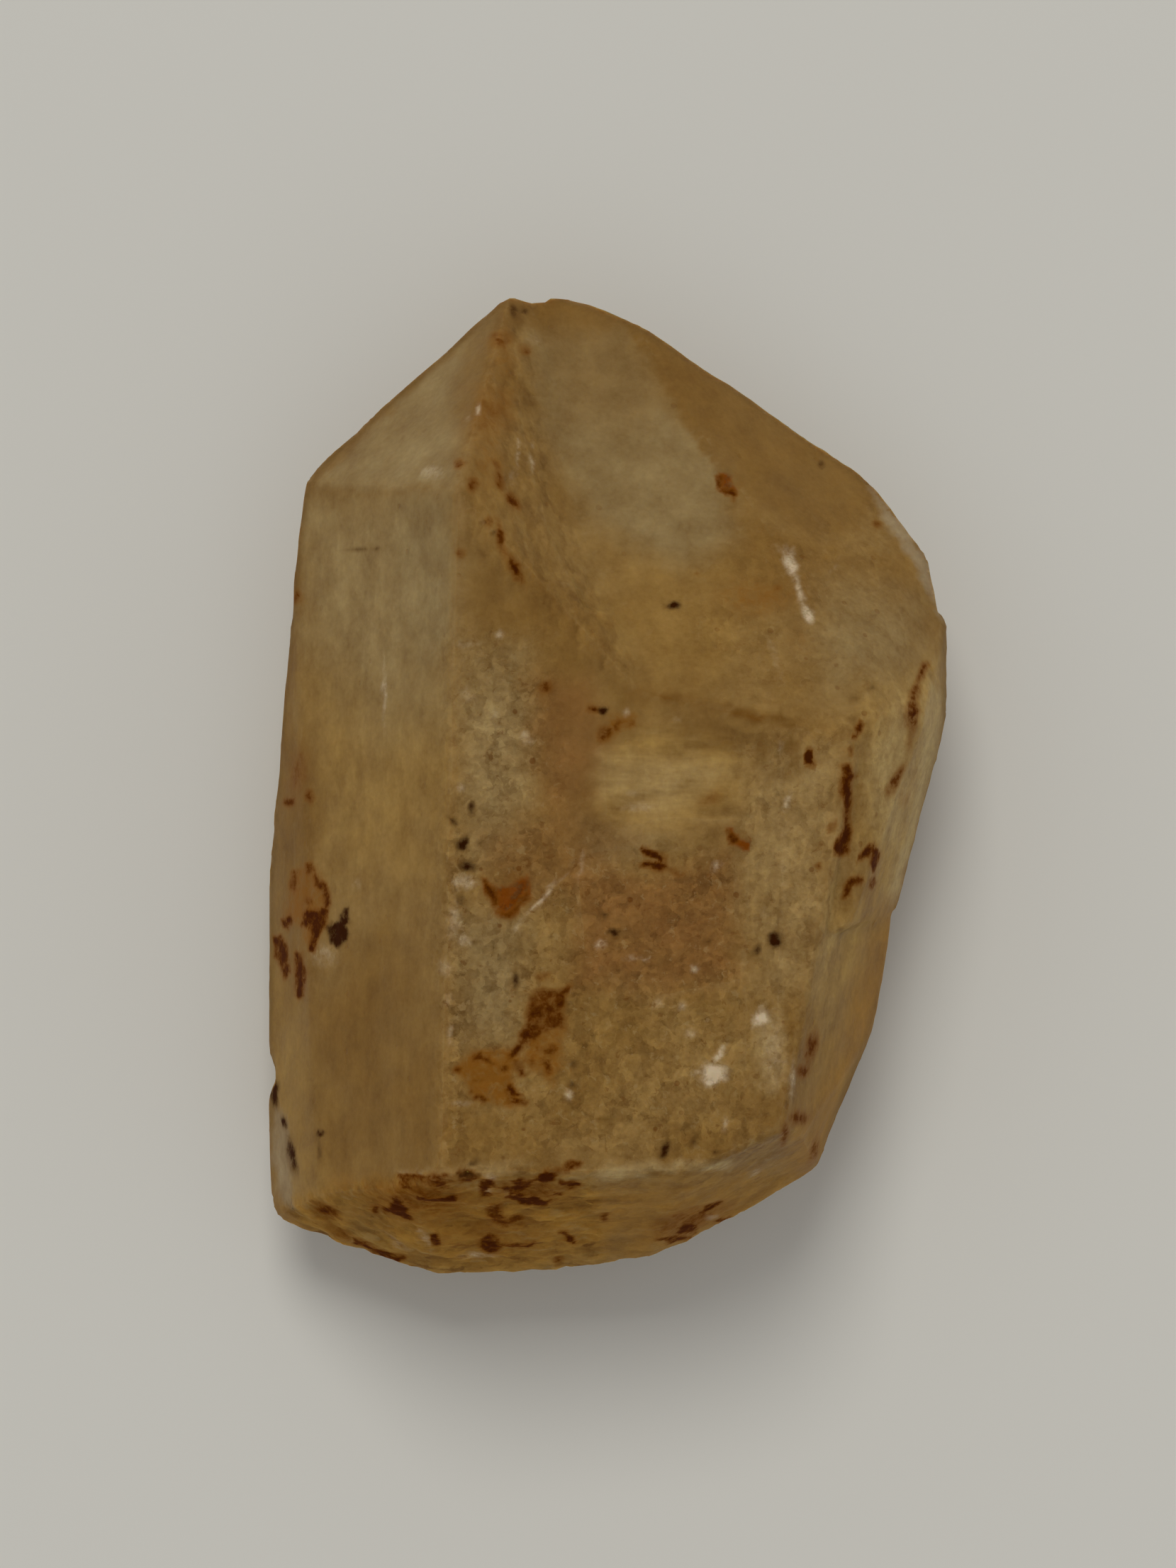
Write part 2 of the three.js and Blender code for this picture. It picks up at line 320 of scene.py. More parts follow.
# Each zone: its tint, how strong, how soft its border is in pixels, and its outline
tintZones = {
    "leftTipFace": ("khaki", 0.85, 16, [
        (425, 690), (560, 555), (719, 415), (700, 470), (682, 520), (660, 590), (645, 690)]),
    "leftTipPale": ("pale", 0.1, 30, [
        (560, 680), (630, 600), (668, 500), (672, 520), (655, 600), (642, 690)]),
    # painted shade: the dark line along the left outline of the tip
    "leftTipEdge": ("umber", 0.7, 9, [
        (410, 700), (560, 545), (705, 412), (716, 420), (570, 562), (430, 700)]),
    "ridgeShade": ("umber", 0.72, 18, [
        (636, 570), (652, 500), (690, 440), (718, 422), (700, 520), (668, 600), (645, 640)]),
    "tipFoot": ("umber", 0.5, 6, [(436, 686), (520, 692), (612, 684), (612, 692), (520, 700), (436, 696)]),
    "leftPrismTop": ("khaki", 0.6, 60, [(415, 700), (640, 695), (640, 1000), (540, 1050), (430, 900)]),
    # painted reflection: the soft grey sheen on the upper right of the left prism face
    "leftPrismSheen": ("khaki", 0.8, 28, [(560, 700), (640, 695), (642, 900), (600, 930), (560, 880)]),
    "leftPrismMiddle": ("honey", 0.6, 70, [(450, 880), (620, 980), (620, 1200), (500, 1240), (430, 1100)]),
    "leftPrismFoot": ("umber", 0.5, 80, [(400, 1400), (620, 1330), (620, 1640), (450, 1700), (390, 1600)]),
    "leftEdgeStain": ("umber", 0.75, 22, [
        (392, 1020), (436, 1030), (450, 1120), (440, 1380), (400, 1440), (384, 1200)]),
    # painted shade: the dark line along the left outline
    "leftEdgeLine": ("umber", 1.0, 10, [
        (405, 690), (426, 700), (416, 900), (404, 1080), (380, 1080), (390, 880)]),
    "bentStrip": ("honey", 0.6, 14, [
        (390, 1330), (425, 1400), (455, 1560), (470, 1700), (420, 1690), (385, 1560)]),
    # painted reflection: the light greyish sheen of the crown face
    "crownFace": ("khaki", 0.95, 32, [
        (745, 470), (880, 450), (945, 570), (1025, 660), (1035, 760), (960, 800), (840, 740), (770, 620)]),
    "crownTop": ("umber", 0.4, 40, [(745, 440), (880, 440), (950, 560), (900, 610), (790, 600)]),
    "crownPale": ("pale", 0.1, 60, [(800, 560), (900, 560), (980, 680), (980, 760), (880, 730)]),
    "crownHaze": ("honey", 0.5, 60, [(860, 780), (1040, 800), (1030, 940), (930, 960), (870, 880)]),
    "stainedBand": ("umber", 0.3, 26, [
        (650, 700), (665, 590), (700, 480), (728, 440), (748, 560), (790, 720), (850, 860), (900, 950),
        (850, 940), (760, 860), (690, 800), (655, 760)]),
    "bandTip": ("umber", 0.5, 20, [(705, 420), (860, 415), (900, 450), (860, 470), (740, 460), (700, 480)]),
    # painted shade: the dark brown band along the upper right outline
    "rightTipFace": ("umber", 0.6, 12, [
        (885, 440), (1000, 520), (1240, 680), (1215, 745), (1150, 760), (1090, 720), (1035, 690),
        (985, 622), (962, 586), (936, 530), (908, 488), (880, 455)]),
    "rightTipLine": ("umber", 0.6, 5, [
        (884, 452), (908, 484), (940, 530), (966, 584), (990, 622), (1012, 654), (1006, 658), (980, 620),
        (956, 586), (930, 532), (900, 488)]),
    "crownSeam": ("umber", 0.35, 5, [(1034, 704), (1040, 704), (1042, 764), (1036, 764)]),
    "rightTipFoot": ("umber", 0.4, 60, [(1060, 700), (1220, 740), (1180, 850), (1110, 850), (1060, 790)]),
    "rightTipPale": ("khaki", 0.7, 60, [(1170, 830), (1300, 850), (1290, 960), (1170, 980), (1140, 900)]),
    # painted light: the thin right edge paler, as light shines through it
    "rightRim": ("thinEdgeLight", 0.7, 6, [
        (1226, 680), (1262, 720), (1318, 800), (1330, 870), (1316, 850), (1290, 790), (1250, 740)]),
    "growthFace": ("honey", 0.9, 20, [
        (1215, 960), (1325, 930), (1330, 1060), (1295, 1160), (1255, 1290), (1215, 1180)]),
    "growthPale": ("pale", 0.6, 26, [
        (1225, 1060), (1260, 990), (1300, 1000), (1290, 1100), (1260, 1190), (1230, 1160)]),
    "growthRim": ("pale", 0.7, 7, [
        (1312, 960), (1330, 985), (1330, 1060), (1292, 1180), (1262, 1280), (1252, 1270), (1290, 1130)]),
    # painted reflection: the reddish band that light reflected inside the crystal makes
    "redBand": ("russet", 0.75, 30, [
        (755, 955), (830, 960), (860, 1050), (830, 1130), (770, 1130), (748, 1040)]),
    "redBandFoot": ("russet", 0.5, 30, [(680, 1180), (800, 1130), (900, 1190), (800, 1260), (700, 1290)]),
    # partly painted shadow under the ledge's step, partly brown stain
    "ledgeLine": ("umber", 0.6, 7, [
        (880, 972), (950, 976), (1060, 1000), (1135, 1014), (1135, 1024), (1050, 1014), (950, 990),
        (880, 986)]),
    "ledgeShade": ("umber", 0.35, 18, [
        (975, 1022), (1060, 1030), (1150, 1030), (1145, 1095), (1090, 1085), (1000, 1050)]),
    # painted light: the bright patch that light reflected inside the crystal makes, brightest in
    # windowBright
    "window": ("honey", 1.0, 26, [
        (850, 1060), (930, 1030), (1040, 1060), (1045, 1130), (940, 1165), (850, 1150)]),
    "windowBright": ("pale", 0.55, 30, [
        (850, 1070), (980, 1070), (1030, 1090), (990, 1120), (930, 1150), (850, 1120)]),
    "underWindow": ("khaki", 0.7, 30, [(820, 1160), (940, 1180), (900, 1210), (820, 1215)]),
    # painted reflection: the darker box that light reflected inside the crystal makes
    "stepBox": ("russet", 0.85, 30, [
        (810, 1215), (920, 1240), (1035, 1200), (1040, 1380), (940, 1400), (815, 1390)]),
    "leftOfBox": ("khaki", 0.6, 40, [(655, 910), (745, 910), (740, 1180), (650, 1230)]),
    "lowLeftPale": ("khaki", 0.8, 40, [(640, 1290), (735, 1300), (725, 1470), (640, 1460)]),
    "middleFoot": ("honey", 0.1, 70, [(760, 1420), (1040, 1420), (1040, 1600), (700, 1630), (700, 1560)]),
    "rightPrism": ("pale", 0.4, 45, [
        (1060, 1060), (1185, 1060), (1180, 1240), (1140, 1400), (1070, 1400), (1050, 1200)]),
    # painted light: the whitish strip where the faces refract light
    "thinStrip": ("pale", 0.45, 14, [
        (1066, 1435), (1100, 1430), (1108, 1470), (1105, 1530), (1085, 1545), (1066, 1500)]),
    "lowRight": ("umber", 0.55, 55, [
        (1040, 1560), (1160, 1450), (1200, 1400), (1160, 1600), (1120, 1660), (1030, 1660)]),
    "rightFaceTop": ("toffee", 0.3, 24, [
        (1215, 1260), (1262, 1290), (1262, 1400), (1225, 1500), (1200, 1460), (1205, 1340)]),
    "baseEdge": ("pale", 0.9, 6, [
        (835, 1658), (860, 1645), (930, 1639), (1030, 1640), (1030, 1648), (930, 1652), (850, 1664)]),
    "baseEdgeLeft": ("pale", 0.45, 9, [
        (560, 1650), (620, 1655), (700, 1640), (760, 1640), (700, 1656), (620, 1664)]),
    "brokenBase": ("toffee", 0.9, 26, [
        (480, 1670), (640, 1665), (840, 1670), (900, 1700), (860, 1770), (700, 1800), (560, 1780)]),
    "brokenBaseRight": ("toffee", 0.75, 26, [
        (860, 1670), (1130, 1655), (1140, 1670), (1000, 1745), (880, 1780)]),
    "brokenBaseLeft": ("toffee", 0.7, 22, [
        (400, 1700), (480, 1680), (520, 1770), (470, 1765), (410, 1730)]),
    "heelFace": ("honey", 0.75, 16, [
        (1170, 1240), (1215, 1270), (1225, 1330), (1205, 1420), (1185, 1530), (1150, 1560), (1140, 1500),
        (1155, 1430), (1165, 1340)]),
    "lowRightFace": ("toffee", 0.7, 26, [
        (1255, 1270), (1275, 1290), (1240, 1450), (1170, 1640), (1120, 1665), (1110, 1640), (1180, 1480)]),
    "leftPrismLight": ("pale", 0.3, 50, [(440, 720), (560, 710), (600, 900), (560, 960), (450, 920)]),
    "besideBox": ("pale", 0.35, 34, [(655, 990), (740, 990), (745, 1130), (655, 1130)]),
    # painted light: the thin lip paler, as light shines through it
    "lowerLeftLip": ("thinEdgeLight", 0.6, 6, [
        (388, 1560), (402, 1570), (412, 1650), (414, 1705), (398, 1700), (385, 1640)]),
}

# Each mark, in pixels: its middle, half its length and half its width, then its turn in degrees and
# its strength
rustMarks = {
    "rimDot": (1237, 740, 6, 5, 0, 0.5),
    "crownDot": (987, 811, 5, 5, 0, 0.35),
    "hazeDot": (1095, 830, 7, 6, 0, 0.4),
    "redBandDot": (769, 970, 9, 8, 0, 0.7),
    # the ledge's line: partly painted shadow under its step, partly stain
    "ledgeStart": (945, 983, 20, 4, -8, 0.25),
    "ledgeLine": (1060, 1010, 34, 5, -9, 0.25),
    "besideFleck": (1003, 1127, 20, 9, 20, 0.35),
    "rimStreakTop": (1302, 948, 15, 5, 60, 0.75),
    "rimStreakUpper": (1291, 972, 14, 6, 75, 0.65),
    "rimStreak": (1288, 1005, 24, 8, 85, 0.95),
    "rimStreakFoot": (1283, 1045, 22, 5, 85, 0.35),
    "growthDash": (1265, 1100, 20, 6, 62, 0.75),
    "growthFaint": (1275, 1127, 12, 7, 80, 0.35),
    "heelStreak": (1144, 1477, 19, 7, 75, 0.75),
    "heelSpot": (1133, 1511, 9, 7, 30, 0.75),
    "heelPatch": (1127, 1576, 12, 10, 0, 0.7),
    "heelLine": (1107, 1599, 18, 6, 80, 0.65),
    "heelEdge": (1148, 1622, 22, 6, 75, 0.5),
    "sidePatch": (420, 1090, 34, 14, 80, 0.42),
    "sideDot": (437, 1123, 8, 6, 90, 0.75),
    "sideDotLow": (408, 1131, 7, 6, 0, 0.75),
    "edgeDot": (419, 843, 8, 6, 90, 0.8),
    "bandPatch": (692, 588, 40, 26, 70, 0.3),
    "bandPatchTop": (705, 480, 16, 12, 0, 0.5),
    "bandTipDot": (740, 493, 9, 6, -30, 0.5),
    "bandDot": (647, 655, 7, 6, -60, 0.7),
    "bandDotLow": (667, 686, 6, 9, 0, 0.7),
    "bandStreak": (703, 672, 20, 5, -80, 0.6),
    "bandKnot": (724, 708, 13, 7, -60, 0.7),
    "bandKnotLeft": (690, 736, 6, 7, 0, 0.55),
    "bandLine": (707, 762, 26, 5, -80, 0.65),
    "bandLineLow": (727, 803, 22, 5, -62, 0.8),
    "bandSpeck": (650, 781, 7, 6, 0, 0.6),
    "baseSmear": (600, 1688, 60, 22, 0, 0.5),
    "baseLeftSpot": (461, 1710, 16, 9, -15, 0.9),
    "baseTopSmear": (610, 1666, 45, 9, 0, 0.55),
    "baseMiddleSmear": (745, 1680, 60, 16, 0, 0.5),
    "baseRedHaze": (700, 1735, 48, 24, 0, 0.25),
    "rimSmear": (480, 1740, 24, 8, -30, 0.45),
    "chipHaze": (970, 1722, 55, 16, 18, 0.5),
}
sootMarks = {
    "blackFleck": (949, 854, 9, 5, 15, 1.0),
    "shoulderDot": (1158, 654, 6, 5, 0, 0.6),
    "stepDot": (867, 1315, 7, 5, 0, 1.0),
    "stepDotAbove": (853, 1291, 7, 6, 0, 0.55),
    "stepDotRight": (996, 1329, 8, 7, 0, 0.5),
    "pitDark": (1094, 1325, 8, 10, 0, 1.25),
    "prismLine": (1098, 1278, 36, 4, 89, 0.35),
    "pitBelow": (1066, 1341, 10, 6, 55, 0.75),
    "faceDot": (1185, 1312, 6, 6, 0, 0.45),
    "growthGreen": (1200, 1014, 8, 8, 0, 0.45),
    "growthGreenUp": (1207, 985, 9, 5, 0, 0.4),
    "growthDot": (1229, 971, 6, 6, 0, 0.45),
    "edgeTop": (638, 1158, 9, 5, -60, 0.75),
    "edgeDot": (665, 1140, 8, 5, 80, 0.8),
    "edgeSecond": (651, 1191, 10, 6, 60, 0.95),
    "edgeSecondRight": (677, 1188, 8, 5, 70, 0.5),
    "edgeThird": (659, 1221, 11, 7, -20, 0.95),
    "edgeFourth": (652, 1271, 9, 9, 0, 0.6),
    "edgeFifth": (671, 1328, 7, 6, 0, 0.45),
    "apexSpeck": (725, 438, 13, 6, -75, 0.6),
    "apexSpeckRight": (741, 440, 6, 6, 0, 0.55),
    "hairline": (510, 776, 26, 3, 2, 0.5),
    "hairlineEnd": (531, 775, 7, 4, 5, 0.6),
    "edgeBlack": (388, 1541, 19, 6, -85, 1.0),
    "edgeSmall": (401, 1583, 9, 4, -75, 0.85),
    "edgeLong": (412, 1629, 24, 6, -80, 0.95),
    "stripDot": (451, 1599, 6, 5, 0, 0.9),
    "stripStreak": (451, 1624, 18, 4, 88, 0.5),
    "threadDark": (728, 1385, 16, 5, 88, 0.65),
    "threadTop": (733, 1335, 24, 4, 85, 0.4),
    "lowDot": (809, 1503, 8, 7, 0, 0.5),
    "lowDotNext": (807, 1531, 8, 7, 0, 0.5),
    "footBlack": (938, 1620, 11, 5, 70, 1.1),
    "footDots": (980, 1609, 12, 8, 40, 0.5),
    "footDotRight": (1010, 1624, 8, 5, 30, 0.65),
    "footDotUp": (968, 1590, 16, 5, 10, 0.4),
    "baseTopDot": (669, 1641, 8, 4, 20, 0.7),
    "baseTopSmudge": (660, 1657, 20, 5, 0, 0.5),
}
ochreMarks = {
    "hazeUnderGlint": (1068, 842, 60, 26, 0, 0.8),
    "hazeEast": (1130, 900, 26, 30, 0, 0.45),
    "bandOrange": (696, 580, 46, 34, 60, 0.65),
    "bandOrangeTop": (712, 510, 34, 20, 80, 0.6),
    "bandOrangeLow": (690, 650, 50, 26, 90, 0.6),
    "windowHalo": (872, 1020, 30, 20, 0, 0.5),
    "baseOrange": (700, 1735, 110, 36, 0, 0.65),
    "baseOrangeLeft": (580, 1700, 90, 30, -5, 0.9),
    "baseCorner": (470, 1725, 34, 14, -25, 0.5),
    "chipOrange": (990, 1718, 50, 14, 18, 0.7),
    "sideOrange": (418, 1090, 44, 16, 85, 0.4),
    "baseRedHalo": (700, 1735, 34, 40, 0, 0.6),
}
# Pale marks: milky veils, and painted highlights. Those named glint, the crown's thread between its glints,
# the small pair, the triangle, the column marks, the low dash and the base light are painted glints of
# chips and cracks.
veilAndGlintMarks = {
    "crownGlint": (1115, 792, 17, 8, 100, 1.1),
    "crownGlintTop": (1098, 775, 12, 10, 0, 0.3),
    "crownGlintLow": (1139, 866, 13, 6, 105, 0.95),
    "crownThread": (1127, 830, 34, 5, 108, 0.75),
    "crownThreadLow": (1092, 925, 30, 6, 110, 0.35),
    "crownThreadFoot": (1100, 955, 14, 10, 120, 0.3),
    "rightSmear": (1178, 800, 20, 5, 60, 0.3),
    "ridgeGlint": (674, 576, 8, 4, 75, 0.85),
    "ridgeGlintLow": (661, 590, 7, 5, 60, 0.4),
    "ridgeKnob": (609, 666, 15, 12, 0, 0.5),
    "bandThread": (730, 640, 34, 3, 88, 0.45),
    "bandThreadRight": (750, 645, 30, 3, 86, 0.5),
    "bandThreadLow": (722, 672, 16, 4, 80, 0.35),
    "bandSmear": (753, 478, 14, 10, 0, 0.3),
    "leftThread": (542, 978, 48, 4, 90, 0.55),
    "leftSmear": (490, 950, 18, 8, 0, 0.2),
    "leftDot": (504, 1247, 9, 8, 0, 0.4),
    "underBlack": (455, 1345, 22, 18, 0, 0.45),
    "edgeBar": (660, 908, 24, 6, 0, 0.4),
    "edgeGlint": (705, 896, 6, 7, 0, 0.7),
    "edgeSmear": (657, 980, 12, 10, -45, 0.5),
    "patchGlint": (698, 1006, 9, 9, 0, 0.4),
    "patchGlintRight": (742, 1042, 9, 11, 0, 0.5),
    "edgeBead": (651, 1110, 7, 7, 0, 0.6),
    "edgeCloud": (656, 1245, 15, 9, 0, 0.75),
    "edgeColumn": (641, 1300, 34, 9, 85, 0.5),
    "edgeColumnLow": (654, 1327, 12, 10, 0, 0.5),
    "edgeScallop": (627, 1365, 14, 10, 90, 0.45),
    "edgeScallopLow": (633, 1411, 12, 7, 90, 0.45),
    "edgeScallopFoot": (636, 1458, 18, 5, 80, 0.5),
    "heartThread": (762, 1270, 42, 3, 45, 0.8),
    "heartThreadFoot": (733, 1305, 16, 4, 50, 0.5),
    "boxThread": (821, 1212, 26, 4, 80, 0.5),
    "boxGlint": (848, 1333, 8, 6, 0, 0.9),
    "pairGlint": (1010, 1221, 6, 6, 0, 0.8),
    "slantedThread": (1111, 1131, 15, 4, 65, 0.75),
    "prismStrip": (1106, 1220, 70, 7, 88, 0.3),
    "prismGlow": (1077, 1290, 14, 8, 90, 0.3),
    "ledgeThread": (1102, 1052, 16, 5, 85, 0.35),
    "windowStreak": (900, 1140, 34, 8, 0, 0.4),
    "windowStreakLow": (893, 1120, 22, 6, 0, 0.3),
    "cornerGlint": (884, 1006, 5, 6, 0, 0.6),
    "cornerGlintRight": (956, 1014, 8, 6, 0, 0.4),
    "smallPair": (894, 1350, 14, 5, -5, 0.5),
    "smallPairRight": (912, 1356, 8, 3, 0, 0.6),
    "boxFootGlint": (980, 1367, 5, 6, 0, 0.8),
    "footGlint": (926, 1417, 11, 8, 20, 0.55),
    "footGlintRight": (962, 1420, 7, 8, 0, 0.6),
    "footGlintLow": (975, 1459, 9, 7, -20, 0.55),
    "triangle": (1008, 1513, 16, 11, 10, 1.5),
    "triangleCorner": (1006, 1524, 9, 7, 0, 1.4),
    "triangleArm": (1013, 1490, 20, 4, 60, 1.0),
    "triangleTail": (988, 1512, 12, 4, 0, 0.7),
    "columnGlint": (1074, 1437, 12, 8, 40, 1.3),
    "columnHaze": (1090, 1480, 60, 18, 88, 0.4),
    "columnTop": (1105, 1445, 16, 4, 88, 0.4),
    "columnSide": (1117, 1524, 26, 5, 86, 0.6),
    # painted highlight: a small glint
    "lowGlintDot": (801, 1545, 6, 8, 0, 0.7),
    "patchDash": (650, 1559, 14, 4, 0, 0.65),
    "lowDash": (1022, 1586, 12, 5, 75, 0.6),
    "lowDashFoot": (1035, 1620, 22, 6, 70, 0.25),
    "baseGlint": (692, 1661, 12, 6, 0, 0.6),
    "baseRing": (687, 1679, 8, 6, 0, 0.6),
    "baseRingRight": (716, 1682, 5, 5, 0, 0.5),
    "baseLight": (1065, 1655, 14, 7, 40, 0.45),
    "baseLow": (676, 1771, 26, 6, 0, 0.55),
    "baseCurl": (598, 1744, 20, 6, -55, 0.5),
    "baseCurlLeft": (560, 1753, 20, 6, -35, 0.4),
    "chipGlint": (1003, 1718, 9, 4, 0, 0.9),
    "footPale": (585, 1652, 28, 5, 0, 0.35),
}

